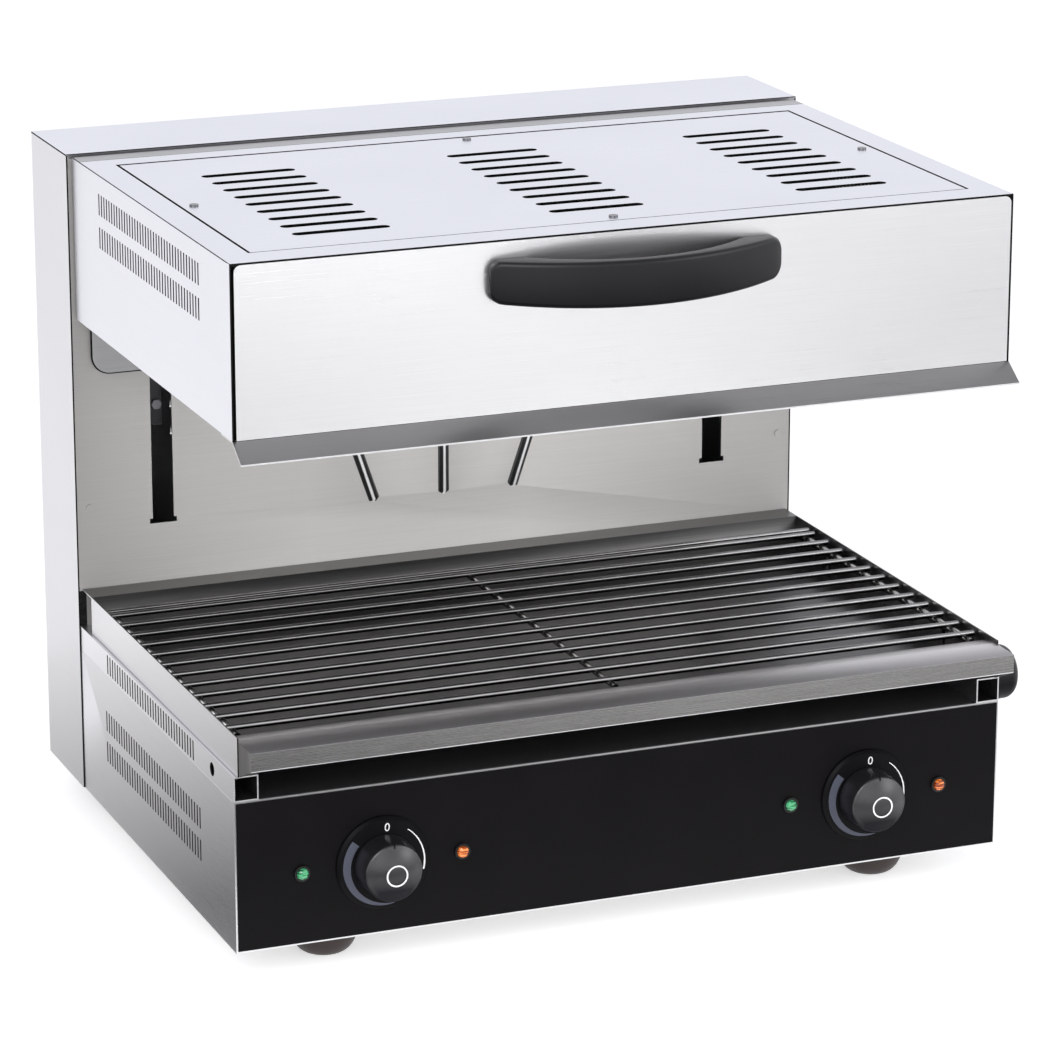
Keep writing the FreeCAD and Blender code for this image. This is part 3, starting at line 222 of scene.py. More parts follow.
def plated(name, shade, roughness):
    """Plated or polished metal with faint cloudy wear."""
    material, tree, shader = node_tree(name)
    patch = object_noise(tree, PLATED_CLOUD, detail=4.0)
    worn = tuple(Vector(shade) * 0.88)
    colour_by(tree, shader, patch, [(0.3, worn), (0.7, shade)])
    vary_roughness(tree, shader, calculate(tree, "MULTIPLY", patch, 0.12), lowest=roughness - 0.06)
    shader.inputs["Metallic"].default_value = 1.0
    return material


def wire_with_painted_light(name, shade, roughness):
    """Plated wire with a painted highlight on its crown and painted shade on its underside and far flank, set
    by the upward tilt of its surface.
    """
    material = plated(name, shade, roughness)
    tree = material.node_tree
    upward = component(tree, add(tree, "ShaderNodeTexCoord").outputs["Normal"], "Z")
    stops = [(0.48, 0.05), (0.66, 0.40), (0.76, 1.0), (0.94, 1.0), (0.99, 0.25)]
    painted_light = ramp(tree, share_between(tree, upward, -1.0, 1.0), stops)
    tone_down(tree, tree.nodes["Principled BSDF"], painted_light)
    return material


def lens(name, colour, deep):
    """Tinted glossy lens with a brighter middle."""
    material, tree, shader = node_tree(name)
    patch = object_noise(tree, LENS_CORE, detail=1.0)
    colour_by(tree, shader, patch, [(0.42, deep), (0.56, colour)])
    emboss(tree, shader, patch, strength=0.15, depth=0.4 * MM)
    shader.inputs["Roughness"].default_value = 0.12
    shader.inputs["Coat Weight"].default_value = 0.8
    shader.inputs["Coat Roughness"].default_value = 0.05
    return material


def pressed_bead(name):
    """Pressed rib with a painted highlight along its crown and painted shade down both flanks, set by how far
    its surface turns sideways, with a faint noise ruffling them.
    """
    material, tree, shader = node_tree(name)
    across = component(tree, add(tree, "ShaderNodeTexCoord").outputs["Normal"], "X")
    tilt = calculate(tree, "ABSOLUTE", across)
    worn = calculate(tree, "MULTIPLY", object_noise(tree, BEAD_WEAR), 0.06)
    stops = [(0.0, 1.0), (0.17, 0.95), (0.26, 0.02), (0.62, 0.015), (0.84, 0.12), (0.95, 0.40)]
    colour_by(tree, shader, calculate(tree, "ADD", tilt, worn), stops)
    shader.inputs["Metallic"].default_value = 0.35
    shader.inputs["Roughness"].default_value = 0.45
    return material


def plate_with_painted_shade(name):
    """Brushed plate with painted shade: its tone rises from the left to the middle and falls again to the
    right.
    """
    material = brushed(name, (0.6, 0.585, 0.57), 0.60, "X", streaks=0.035, metallic=0.10)
    tree = material.node_tree
    across = component(tree, add(tree, "ShaderNodeTexCoord").outputs["Object"], "X")
    stops = [(0.0, 0.42), (0.32, 0.9), (0.62, 1.0), (1.0, 0.55)]
    painted_light = ramp(tree, share_between(tree, across, -0.32, 0.28), stops)
    tone_down(tree, tree.nodes["Principled BSDF"], painted_light)
    return material


def shadow_black(name, shade=0.006):
    """Painted shade for unlit folds, cut edges, gaps and hollows: nearly black with a faint mottle and no
    gloss.
    """
    material, tree, shader = node_tree(name)
    patch = object_noise(tree, SHADOW_MOTTLE)
    colour_by(tree, shader, patch, [(0.3, shade * 0.7), (0.7, shade * 1.4)])
    shader.inputs["Roughness"].default_value = 0.9
    shader.inputs["Specular IOR Level"].default_value = 0.04
    return material


# Painted sheen for the handle and knobs: gloss set by how far the surface tilts upward.
HANDLE_PAINTED_SHEEN = [(0.4, 0.10), (0.52, 0.30), (0.7, 0.50), (0.95, 0.85)]
KNOB_PAINTED_SHEEN = [(0.34, 0.04), (0.5, 0.85), (0.6, 1.0)]

materials = {
    # The stainless sheets share one brushed steel in lit and shaded copies: the top, front, head, side, base
    # and visor steels have base colours set lighter or darker as painted light and shade, and the bluish cast
    # of the top and head steels is a painted sky reflection.
    "steel": brushed("steel", (0.80, 0.80, 0.82), 0.32, "X"),
    "steel_top": brushed("steel_top", (0.79, 0.80, 0.86), 0.30, "X"),
    "steel_front": brushed("steel_front", (0.86, 0.86, 0.87), 0.30, "X"),
    "steel_head": brushed("steel_head", (0.76, 0.76, 0.80), 0.32, "Y"),
    "steel_side": brushed("steel_side", (0.69, 0.685, 0.705), 0.32, "Y"),
    "steel_base": brushed("steel_base", (0.72, 0.71, 0.735), 0.30, "Y"),
    "steel_rear": brushed("steel_rear", (0.60, 0.60, 0.61), 0.36, "X"),
    # The next steel is painted shade for the dark insides of the base and the reflector in the head.
    "inside_shade_steel": brushed("inside_shade_steel", (0.20, 0.20, 0.20), 0.5, "X", streaks=0.06),
    # The next steel is a painted highlight for bright folds, cut edges and tube ends.
    "edge_highlight_steel": brushed("edge_highlight_steel", (0.88, 0.88, 0.89), 0.42, "X"),
    # The next steel is painted shade for the cap's front and a strip along the rear of the head's top.
    "strip_shade_steel": brushed("strip_shade_steel", (0.42, 0.42, 0.43), 0.30, "X", streaks=0.08),
    "steel_visor": brushed("steel_visor", (0.635, 0.625, 0.62), 0.30, "X"),
    # The next two are painted shade, put on folds, cut edges, gaps, slots and hollows.
    "fold_shade": shadow_black("fold_shade"),
    "hollow_shade": shadow_black("hollow_shade", 0.012),
    "plate_steel": plate_with_painted_shade("plate_steel"),
    "plate_bead": pressed_bead("plate_bead"),
    "shield_steel": brushed("shield_steel", (0.52, 0.52, 0.53), 0.40, "X", streaks=0.05),
    "tray_steel": brushed("tray_steel", (0.72, 0.71, 0.725), 0.30, "X", streaks=0.03),
    # The tray's pan and rim steels below are painted shade; its lip steel is painted lighter and its
    # front-face steel darker, as light and shade.
    "tray_floor_shade": brushed("tray_floor_shade", (0.24, 0.235, 0.24), 0.32, "X", streaks=0.14),
    "tray_rim_shade": brushed("tray_rim_shade", (0.25, 0.245, 0.24), 0.40, "X", streaks=0.08),
    "tray_lip": brushed("tray_lip", (0.80, 0.78, 0.79), 0.44, "X", streaks=0.06),
    "tray_face": brushed("tray_face", (0.44, 0.435, 0.43), 0.27, "X", streaks=0.06),
    # The next steel is painted near-black as shade, for the carriages that sit in the plate's slots.
    "frame_steel": brushed("frame_steel", (0.08, 0.08, 0.085), 0.46, "X", streaks=0.05),
    "zinc": plated("zinc", (0.22, 0.22, 0.23), 0.30),
    "chrome_wire": wire_with_painted_light("chrome_wire", (0.96, 0.95, 0.94), 0.18),
    "polished_rod": plated("polished_rod", (0.76, 0.76, 0.78), 0.12),
    "bush": plated("bush", (0.72, 0.52, 0.26), 0.3),
    "strut_paint": moulded("strut_paint", (0.02, 0.02, 0.02), 0.35),
    "heater_sheath": brushed("heater_sheath", (0.18, 0.165, 0.155), 0.5, "Y", streaks=0.12),
    "handle_plastic": domed("handle_plastic", (0.0025, 0.0025, 0.0035), 0.40, HANDLE_PAINTED_SHEEN),
    "knob_plastic": domed("knob_plastic", (0.011, 0.011, 0.013), 0.34, KNOB_PAINTED_SHEEN),
    "dial_print": moulded("dial_print", (0.003, 0.003, 0.0035), 0.42, relief=0.03, gloss=0.10),
    "dial_wedge": moulded("dial_wedge", (0.050, 0.054, 0.074), 0.5, relief=0.04, gloss=0.3),
    "dial_white": moulded("dial_white", (0.60, 0.60, 0.61), 0.5, relief=0.02),
    "fascia_black": moulded("fascia_black", (0.0035, 0.003, 0.0035), 0.42, relief=0.02, gloss=0.09),
    "spindle_metal": plated("spindle_metal", (0.6, 0.6, 0.6), 0.3),
    "control_case": moulded("control_case", (0.50, 0.47, 0.40), 0.5),
    "lens_green": lens("lens_green", (0.05, 0.30, 0.13), (0.0, 0.06, 0.02)),
    "lens_amber": lens("lens_amber", (0.80, 0.20, 0.03), (0.16, 0.02, 0.0)),
    "ring_black": moulded("ring_black", (0.004, 0.004, 0.004), 0.3),
    "foot_rubber": moulded("foot_rubber", (0.016, 0.008, 0.007), 0.45, relief=0.2),
    "gland_plastic": moulded("gland_plastic", (0.03, 0.03, 0.03), 0.45),
    "terminal_plastic": moulded("terminal_plastic", (0.70, 0.69, 0.64), 0.5),
}
# Nodes that keep their solid and don't look like the rest of their slot; the deck, bottom and reflector are
# painted with shade.
BY_NODE = {
    "base_deck": "inside_shade_steel", "base_bottom": "inside_shade_steel", "reflector": "inside_shade_steel",
    "front_panel": "steel_front", "column_rear_cover": "steel_rear",
}


def paint(thing, material):
    """Put one material on the whole of an object."""
    if not thing.material_slots:
        thing.data.materials.append(material)
    thing.material_slots[0].link = "OBJECT"
    thing.material_slots[0].material = material


for node, thing in frame["nodes"].items():
    paint(thing, materials[BY_NODE.get(node, SLOT_OF[node])])


# Pieces

# Cosines to an axis: of a face that looks squarely along it, a leaning face, and an edge that follows it.
SQUARE = 0.9
SLANTED = 0.5
PARALLEL = 0.999
# Distances within which two places count as one, when faces are told apart and when vertices are merged.
TOUCH = 0.05 * MM
WELD = 1e-6
AXIS_WELD = 1e-7
# Largest bend, in radians, over which a flat face still counts as one.
FLAT_BEND = 0.01


def link(name, mesh, names):
    """Make an object from a mesh with its materials, by name."""
    thing = bpy.data.objects.new(name, mesh)
    bpy.context.scene.collection.objects.link(thing)
    for material in names:
        mesh.materials.append(materials[material])
    return thing


def make(name, shape, names, angle=None):
    """Make an object from a bmesh, shaded smoothly over bends softer than an angle where one is given."""
    mesh = bpy.data.meshes.new(name)
    shape.to_mesh(mesh)
    shape.free()
    thing = link(name, mesh, names)
    if angle is not None:
        mesh.shade_smooth()
        mesh.set_sharp_from_angle(angle=math.radians(angle))
    return thing


def stand_for(thing, node):
    """Let a piece ride on a node's body and take its place."""
    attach(thing, BODY_OF[node])
    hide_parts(node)


def dress(node, rule, folds=None, width=0.5 * MM, fold_material="fold_shade", angle=30, splits=()):
    """Copy a node, cut it at the splits, paint each face by a rule, bevel the folds, and replace the node.

    The rule gives a material's name for a face; each split is an axis and a level along it.
    """
    shape = bmesh.new()
    shape.from_mesh(frame["nodes"][node].data)
    bmesh.ops.remove_doubles(shape, verts=shape.verts, dist=WELD)
    bmesh.ops.dissolve_limit(shape, angle_limit=FLAT_BEND, verts=shape.verts, edges=shape.edges)
    for axis, level in splits:
        everything = shape.verts[:] + shape.edges[:] + shape.faces[:]
        bmesh.ops.bisect_plane(shape, geom=everything, dist=WELD, plane_co=AXES[axis] * level,
                               plane_no=AXES[axis])
    names = []

    def index_of(material):
        if material not in names:
            names.append(material)
        return names.index(material)

    for face in shape.faces:
        face.material_index = index_of(rule(face))
    if folds:
        chosen = [edge for edge in shape.edges if len(edge.link_faces) == 2 and folds(edge)]
        if not chosen:
            raise RuntimeError("no fold found on " + node)
        bmesh.ops.bevel(shape, geom=chosen, offset=width, offset_type="OFFSET", segments=1, profile=0.5,
                        affect="EDGES", material=index_of(fold_material), clamp_overlap=False)
    stand_for(make(node + "_dressed", shape, names, angle), node)


def near(value, target, reach=TOUCH):
    return abs(value - target) < reach


def along(edge, axis):
    """Tell whether an edge runs along an axis, by its letter."""
    step = (edge.verts[1].co - edge.verts[0].co).normalized()
    return abs(getattr(step, axis)) > PARALLEL


def middle(edge):
    return (edge.verts[0].co + edge.verts[1].co) / 2


def centre(face):
    return face.calc_center_median()


# Column


def column_side(name):
    """Side sheet whose front cut edge is painted with shade."""
    node = "column_side_" + name
    front = low(node).y
    dress(node, lambda face: "fold_shade" if near(centre(face).y, front) else "steel_side")


def column_cap():
    """Cap with painted shade on its front face, along the fold over it and on its left and right edges."""
    node = "column_top_cap"
    front, top, left, right = low(node).y, high(node).z, low(node).x, high(node).x

    def rule(face):
        place, facing = centre(face), face.normal
        if abs(facing.x) > SQUARE and (near(place.x, left) or near(place.x, right)):
            return "fold_shade"
        return "strip_shade_steel" if facing.y < -SQUARE and near(place.y, front) else "steel_top"

    def fold(edge):
        return along(edge, "x") and near(middle(edge).y, front) and near(middle(edge).z, top)

    dress(node, rule, fold, width=0.6 * MM)


def plate():
    """Back plate with painted shade in its slots and on its lower corners beside the tray, and pressed beads.
    """
    node = "back_plate"
    sheet_gauge = 1.2 * MM
    face_y = high(node).y - sheet_gauge
    corner_top = high("drip_tray").z - 1.5 * MM
    corner_x = high("drip_tray").x - MIDDLE_X - 3 * MM

    def rule(face):
        place = centre(face)
        if place.y < face_y - TOUCH:
            return "plate_bead"
        corner = place.z < corner_top and abs(place.x - MIDDLE_X) > corner_x
        return "hollow_shade" if corner or abs(face.normal.y) < SLANTED else "plate_steel"

    splits = [("z", corner_top)] + [("x", MIDDLE_X + hand * corner_x) for hand in (-1, 1)]
    dress(node, rule, angle=40, splits=splits)


# Head


def head_shell():
    """Shell with painted shade on the folds along its top edges, on its cut edges and hollows, and on a strip
    and a line along the rear of its top.
    """
    node = "head_shell"
    left, right, front, rear, top = low(node).x, high(node).x, low(node).y, high(node).y, high(node).z
    strip_front = rear - 17 * MM
    line_front = strip_front - 0.8 * MM

    def rule(face):
        place, facing = centre(face), face.normal
        if near(place.y, front):
            return "fold_shade"
        if facing.z > SQUARE and near(place.z, top):
            if place.y > strip_front:
                return "strip_shade_steel"
            return "fold_shade" if place.y > line_front else "steel_top"
        outer = near(place.x, left) or near(place.x, right) or near(place.y, rear)
        outward = abs(facing.x) > SQUARE or facing.y > SQUARE
        return "steel_head" if outer and outward else "hollow_shade"

    def fold(edge):
        place = middle(edge)
        side = near(place.x, left) or near(place.x, right)
        return side and near(place.z, top) and along(edge, "y")

    dress(node, rule, fold, splits=[("y", strip_front), ("y", line_front)])


def head_lid():
    """Lid with painted shade in its slots and on its underside, and a painted shade line along its rear, left
    and right edges.
    """
    node = "head_lid"
    top = high(node).z
    rear_line = high(node).y - 2.4 * MM
    left_line, right_line = low(node).x + 0.9 * MM, high(node).x - 1.1 * MM

    def rule(face):
        place = centre(face)
        inside = place.y <= rear_line and left_line <= place.x <= right_line
        return "steel_top" if inside and face.normal.z >= SQUARE and near(place.z, top) else "fold_shade"

    dress(node, rule, splits=[("y", rear_line), ("x", left_line), ("x", right_line)])


def head_front():
    """Front panel with painted shade on the return behind its bright face."""
    node = "head_front_panel"
    front = low(node).y

    def rule(face):
        return "steel_front" if near(centre(face).y, front) or face.normal.y < -SLANTED else "hollow_shade"

    dress(node, rule)


def visor():
    """Leaning strip with a painted shade line at its root, painted shade on its underside and a painted
    highlight on its cut edge.
    """
    node = "visor_strip"
    top, root = high(node).z, low("head_front_panel").y
    cut_back = low(node).y + 0.4 * MM
    root_reach = 0.3 * MM
    downward = -0.3

    def rule(face):
        if centre(face).y < cut_back:
            return "edge_highlight_steel"
        return "hollow_shade" if face.normal.z < downward else "steel_visor"

    def fold(edge):
        place = middle(edge)
        return along(edge, "x") and near(place.y, root, root_reach) and near(place.z, top)

    dress(node, rule, fold)


def shield():
    """Rear shield with painted shade on its cut edges."""
    node = "rear_shield"
    front = low(node).y

    def rule(face):
        return "shield_steel" if abs(face.normal.y) > SQUARE else "fold_shade"

    def fold(edge):
        sharp = edge.link_faces[0].normal.dot(edge.link_faces[1].normal) < SLANTED
        return sharp and near(middle(edge).y, front)

    dress(node, rule, fold, width=1.1 * MM)


def plate_screws():
    """Casing screws, those on the plate painted with the plate's material and so with its painted shade."""
    plate_low = low("back_plate").z
    plate_half = 294 * MM
    screw_back = COLUMN_FRONT + 10 * MM

    def rule(face):
        place = centre(face)
        on_plate = abs(place.x - MIDDLE_X) < plate_half and place.z > plate_low and place.y < screw_back
        return "plate_steel" if on_plate else "zinc"

    dress("casing_screws", rule)


def wall(shape, rings):
    """Join rings of vertices into one closed form."""
    for lower, upper in zip(rings, rings[1:]):
        for step in range(len(lower)):
            after = (step + 1) % len(lower)
            shape.faces.new((lower[step], lower[after], upper[after], upper[step]))
    shape.faces.new(rings[0])
    shape.faces.new(list(reversed(rings[-1])))


def bulge(x, half_chord, rise):
    """Height of a flat arc over its chord, at x from its middle."""
    radius = (half_chord ** 2 + rise ** 2) / (2 * rise)
    return math.sqrt(max(0.0, radius ** 2 - x ** 2)) - (radius - rise)


def bow_handle():
    """Bowed band with soft edges, its lower edge slightly arched and its feet flat on the panel."""
    node = "front_handle"
    at_low, at_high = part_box(node)
    middle_x, end = middle_of(node, "x"), half_width(node)
    panel, reach = at_high.y, at_high.y - at_low.y
    end_reach, foot_length, gap = 7 * MM, 27 * MM, 31 * MM
    corner, arch = 8 * MM, 3.5 * MM
    outer_round, inner_round = 3.6 * MM, 1 * MM
    stations, segments = 72, 28
    end_share = 0.9995
    shape = bmesh.new()
    rings = []
    for station in range(stations + 1):
        x = -end * math.cos(math.pi * station / stations) * end_share
        outer = end_reach + bulge(x, end, reach - end_reach)
        inner = bulge(x, end - foot_length, gap) if abs(x) < end - foot_length else 0.0
        inset = abs(x) - (end - corner)
        trim = corner - math.sqrt(max(0.0, corner ** 2 - inset ** 2)) if inset > 0 else 0.0
        z_low = at_low.z + arch * (x / end) ** 2 + trim
        z_high = at_high.z - trim
        middle_z, half_height, half_depth = (z_low + z_high) / 2, (z_high - z_low) / 2, (outer - inner) / 2
        ring = []
        for segment in range(segments):
            turn = 2 * math.pi * (segment + 0.5) / segments
            c, s = math.cos(turn), math.sin(turn)
            rounding = outer_round if c > 0 else inner_round
            round_y, round_z = min(rounding, half_depth), min(rounding, half_height)
            across = math.copysign(half_depth - round_y, c) + round_y * c
            up = math.copysign(half_height - round_z, s) + round_z * s
            ring.append(shape.verts.new((middle_x + x, panel - inner - half_depth - across, middle_z + up)))
        rings.append(ring)
    wall(shape, rings)
    bmesh.ops.recalc_face_normals(shape, faces=shape.faces)
    stand_for(make(node + "_dressed", shape, ["handle_plastic"], angle=50), node)


# Base


def base_side(name, hand):
    """Base side with a painted highlight on the fold along its top and painted shade inside."""
    node = "base_side_" + name
    outer = low(node).x if hand < 0 else high(node).x
    top = high(node).z

    def rule(face):
        return "steel_base" if near(centre(face).x, outer) else "hollow_shade"

    def fold(edge):
        return along(edge, "y") and near(middle(edge).x, outer) and near(middle(edge).z, top)

    dress(node, rule, fold, width=0.45 * MM, fold_material="edge_highlight_steel")


def rail(name):
    """Rail tube with a painted highlight on its front end and painted shade in its bore."""
    node = "rail_" + name
    low_at, high_at = low(node), high(node)

    def rule(face):
        place = centre(face)
        if near(place.y, low_at.y):
            return "edge_highlight_steel"
        side = near(place.x, low_at.x) or near(place.x, high_at.x)
        return "steel" if side or near(place.z, low_at.z) or near(place.z, high_at.z) else "hollow_shade"

    dress(node, rule)


def tray():
    """Tray with painted shade on its pan, its rim and the ends beside the lip, a lip painted lighter and a
    front face painted darker as light and shade, a painted highlight along its front fold, and its own steel
    outside.
    """
    node = "drip_tray"
    low_at, high_at = low(node), high(node)
    lip_back = low_at.y + 53 * MM
    rim_front = high_at.y - 24 * MM
    rim_split = high_at.y - 22.5 * MM
    face_reach, end_width = 0.2 * MM, 0.9 * MM
    slight_tilt, clear_tilt = 0.05, 0.2

    def rule(face):
        place, facing = centre(face), face.normal
        if near(place.y, low_at.y, face_reach):
            return "tray_face"
        if facing.y < -SQUARE and min(place.x - low_at.x, high_at.x - place.x) < end_width:
            return "fold_shade"
        if near(place.x, low_at.x) or near(place.x, high_at.x):
            return "tray_steel"
        if place.y < lip_back:
            return "tray_lip" if facing.z > slight_tilt else "tray_rim_shade"
        rim = place.y > rim_front and (facing.z > clear_tilt or facing.y < -clear_tilt)
        return "tray_rim_shade" if rim else "tray_floor_shade"

    def fold(edge):
        return along(edge, "x") and near(middle(edge).y, low_at.y, face_reach)

    dress(node, rule, fold, fold_material="edge_highlight_steel", splits=[("y", rim_split)])


# Controls


def lathe(name, profile, axis, origin, material, steps=64, angle=35):
    """Turn a profile of (radius, level), from the axis back to the axis, about y or z through the origin."""
    shape = bmesh.new()
    rings = []
    for radius, level in profile:
        ring = []
        for step in range(steps):
            turn = 2 * math.pi * step / steps
            c, s = radius * math.cos(turn), radius * math.sin(turn)
            ring.append(shape.verts.new(origin + Vector((s, level, c) if axis == "y" else (c, s, level))))
        rings.append(ring)
    wall(shape, rings)
    bmesh.ops.remove_doubles(shape, verts=shape.verts, dist=AXIS_WELD)
    bmesh.ops.recalc_face_normals(shape, faces=shape.faces)
    return make(name, shape, [material], angle)


def arc(middle_radius, middle_level, radius, start, stop, steps):
    """Points of an arc as (radius, level), with angles in degrees."""
    points = []
    for step in range(steps + 1):
        turn = math.radians(start + (stop - start) * step / steps)
        points.append((middle_radius + radius * math.cos(turn), middle_level + radius * math.sin(turn)))
    return points


def print_band(name, body, material, origin, inner, outer, start, stop, steps=48, lift=0.12 * MM, ease=1.0):
    """Thin raised band round an origin, from start to stop in degrees from +X.

    The inner and outer radii are each given at start and at stop, and ease bends the change between them.
    """
    shape = bmesh.new()
    rows = []
    for step in range(steps + 1):
        share = step / steps
        turn = math.radians(start + (stop - start) * share)
        direction = Vector((math.cos(turn), 0, math.sin(turn)))
        radii = [side[0] + (side[1] - side[0]) * share ** ease for side in (inner, outer)]
        places = [origin + direction * radius for radius in radii]
        row = [place + Vector((0, depth, 0)) for place in places for depth in (0, -lift)]
        rows.append([shape.verts.new(place) for place in row])
    for a, b in zip(rows, rows[1:]):
        for i, j in ((0, 1), (1, 3), (3, 2), (2, 0)):
            shape.faces.new((a[i], a[j], b[j], b[i]))
    shape.faces.new((rows[0][0], rows[0][1], rows[0][3], rows[0][2]))
    shape.faces.new((rows[-1][0], rows[-1][2], rows[-1][3], rows[-1][1]))
    bmesh.ops.recalc_face_normals(shape, faces=shape.faces)
    thing = make(name, shape, [material])
    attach(thing, body)


def dial_print(name):
    """Printed zero, wedge and thin arc on a dial."""
    dial = "dial_" + name
    origin = Vector((middle_of(dial, "x"), low(dial).y, middle_of(dial, "z")))
    print_band("dial_wedge_" + name, "housing", "dial_wedge", origin, inner=(24.6 * MM, 30.8 * MM),
               outer=(31.0 * MM, 31.3 * MM), start=140, stop=284, ease=1.9)
    print_band("dial_arc_" + name, "housing", "dial_white", origin, inner=(29.4 * MM, 30.0 * MM),
               outer=(30.0 * MM, 31.2 * MM), start=53, stop=-15)
    zero_size, zero_depth, zero_radius, zero_turn = 8.6 * MM, 0.06 * MM, 27 * MM, math.radians(5)
    text = bpy.data.curves.new("dial_zero_" + name, "FONT")
    text.body = "0"
    text.size = zero_size
    text.extrude = zero_depth
    text.align_x = "CENTER"
    text.align_y = "CENTER"
    holder = bpy.data.objects.new("zero_curve_" + name, text)
    bpy.context.scene.collection.objects.link(holder)
    bpy.context.view_layer.update()
    mesh = bpy.data.meshes.new_from_object(holder)
    bpy.data.objects.remove(holder)
    across, up = math.sin(zero_turn) * zero_radius, math.cos(zero_turn) * zero_radius
    place = Matrix.Translation(origin + Vector((across, -zero_depth, up)))
    mesh.transform(place @ Matrix.Rotation(zero_turn, 4, "Y") @ Matrix.Rotation(math.pi / 2, 4, "X"))
    thing = link("dial_zero_" + name, mesh, ["dial_white"])
    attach(thing, "housing")


def knob(name):
    """Domed grip with a rounded rim, a pointer notch and a plain ring on its face."""
    node = "knob_" + name
    at_low, at_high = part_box(node)
    x, z = middle_of(node, "x"), middle_of(node, "z")
    radius, depth = half_width(node), at_high.y - at_low.y
    chamfer, rim, dome = 0.6 * MM, 2.2 * MM, 5.6 * MM
    middle_draft, full_draft = 0.4 * MM, 1.0 * MM
    rim_angle, rim_steps, dome_steps = 80, 6, 8
    face = depth - dome
    corner = arc(radius - full_draft - rim, -(face - rim), rim, 0, -rim_angle, rim_steps)
    profile = [(0, 0), (radius - chamfer, 0), (radius, -chamfer), (radius - middle_draft, -face * 0.5),
               (radius - full_draft, -(face - rim))] + corner[1:]
    start_radius, start_level = corner[-1]
    for step in range(1, dome_steps + 1):
        share = step / dome_steps
        level = start_level + (-depth - start_level) * (1 - (1 - share) ** 2)
        profile.append((start_radius * (1 - share), level))
    stand_for(lathe(node + "_dressed", profile, "y", Vector((x, at_high.y, z)), "knob_plastic"), node)

    ring_inner, ring_outer, ring_sink, ring_lift = 6.9 * MM, 8.1 * MM, 0.20 * MM, 0.15 * MM
    print_band(node + "_ring", BODY_OF[node], "dial_white", Vector((x, at_low.y + ring_sink, z)),
               inner=(ring_inner, ring_inner), outer=(ring_outer, ring_outer), start=0, stop=359.9,
               steps=60, lift=ring_lift)

    notch_size = (0.9 * MM, 3.2 * MM, 2.6 * MM)
    notch_edge, notch_inset, notch_sink = 0.2 * MM, 1.2 * MM, 0.6 * MM
    notch_y = at_high.y - (face - rim * 0.55) - notch_sink
    notch_z = z + radius - notch_inset - notch_inset
    shape = bmesh.new()
    matrix = Matrix.Translation((x, notch_y, notch_z)) @ Matrix.Diagonal((*notch_size, 1))
    bmesh.ops.create_cube(shape, size=1, matrix=matrix)
    bmesh.ops.bevel(shape, geom=shape.edges[:], offset=notch_edge, segments=1, affect="EDGES")
    pointer = make(node + "_pointer", shape, ["ring_black"])
    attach(pointer, BODY_OF[node])


def foot(node):
    """Bowl-shaped foot with a flat underside."""
    at_low, at_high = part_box(node)
    radius, height = half_width(node), at_high.z - at_low.z
    flat, straight, chamfer = radius * 0.45, height * 0.2, 0.8 * MM
    steps = 12
    profile = [(0, 0), (flat, 0)]
    for step in range(1, steps + 1):
        turn = math.pi / 2 * step / steps
        profile.append((flat + (radius - flat) * math.sin(turn), (height - straight) * (1 - math.cos(turn))))
    profile += [(radius, height - chamfer), (radius - chamfer, height), (0, height)]
    origin = Vector((middle_of(node, "x"), middle_of(node, "y"), at_low.z))
    stand_for(lathe(node + "_dressed", profile, "z", origin, "foot_rubber", angle=40), node)


def pilot(node, tint):
    """Faceted lens: a low dome of small flat faces on a narrower neck."""
    at_low, at_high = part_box(node)
    radius, depth = half_width(node), at_high.y - at_low.y
    neck, dome = radius * 0.8, 5 * MM
    facets = ((1, 1), (1, 0.5), (0.86, 0.26), (0.6, 0.1), (0.3, 0.02), (0, 0))
    profile = [(0, depth), (neck, depth), (neck, dome)]
    profile += [(radius * radius_share, dome * dome_share) for radius_share, dome_share in facets]
    origin = Vector((middle_of(node, "x"), at_low.y, middle_of(node, "z")))
    stand_for(lathe(node + "_dressed", profile, "y", origin, tint, steps=14, angle=4), node)


for name, hand in SIDES:
    column_side(name)
    base_side(name, hand)
    rail(name)
    dial_print(name)
    knob(name)
column_cap()
plate()
head_shell()
head_lid()
head_front()
visor()
shield()
plate_screws()
bow_handle()
tray()
for node, slot in SLOT_OF.items():
    if slot in ("lens_green", "lens_amber"):
        pilot(node, slot)
    if slot == "foot_rubber":
        foot(node)


# Camera

AZIMUTH = math.radians(-21.8045)
ELEVATION = math.radians(16.4985)
# From the column's middle, its front edge and its lower edge.
CAMERA_PLACE = Vector((-1229.5, -3235.1, 1208.4)) * MM
camera = bpy.data.objects.new("camera", bpy.data.cameras.new("camera"))
bpy.context.scene.collection.objects.link(camera)
camera.location = Vector((MIDDLE_X, COLUMN_FRONT, BASE_LOW)) + CAMERA_PLACE
camera.rotation_euler = (math.pi / 2 - ELEVATION, 0, AZIMUTH)
camera.data.sensor_width = 36
camera.data.lens = 158.456
camera.data.clip_end = 200
bpy.context.scene.camera = camera


# Studio

world = bpy.data.worlds.new("studio")
bpy.context.scene.world = world
world.use_nodes = True
tree = world.node_tree
background = tree.nodes["Background"]
height = component(tree, add(tree, "ShaderNodeTexCoord").outputs["Generated"], "Z")
SKY = [(0.0, (0.98, 0.98, 1.0)), (0.42, (0.95, 0.96, 1.0)), (0.72, (0.34, 0.34, 0.36)),
       (1.0, (0.24, 0.24, 0.25))]
tree.links.new(ramp(tree, height, SKY), background.inputs["Color"])
background.inputs["Strength"].default_value = 1.06


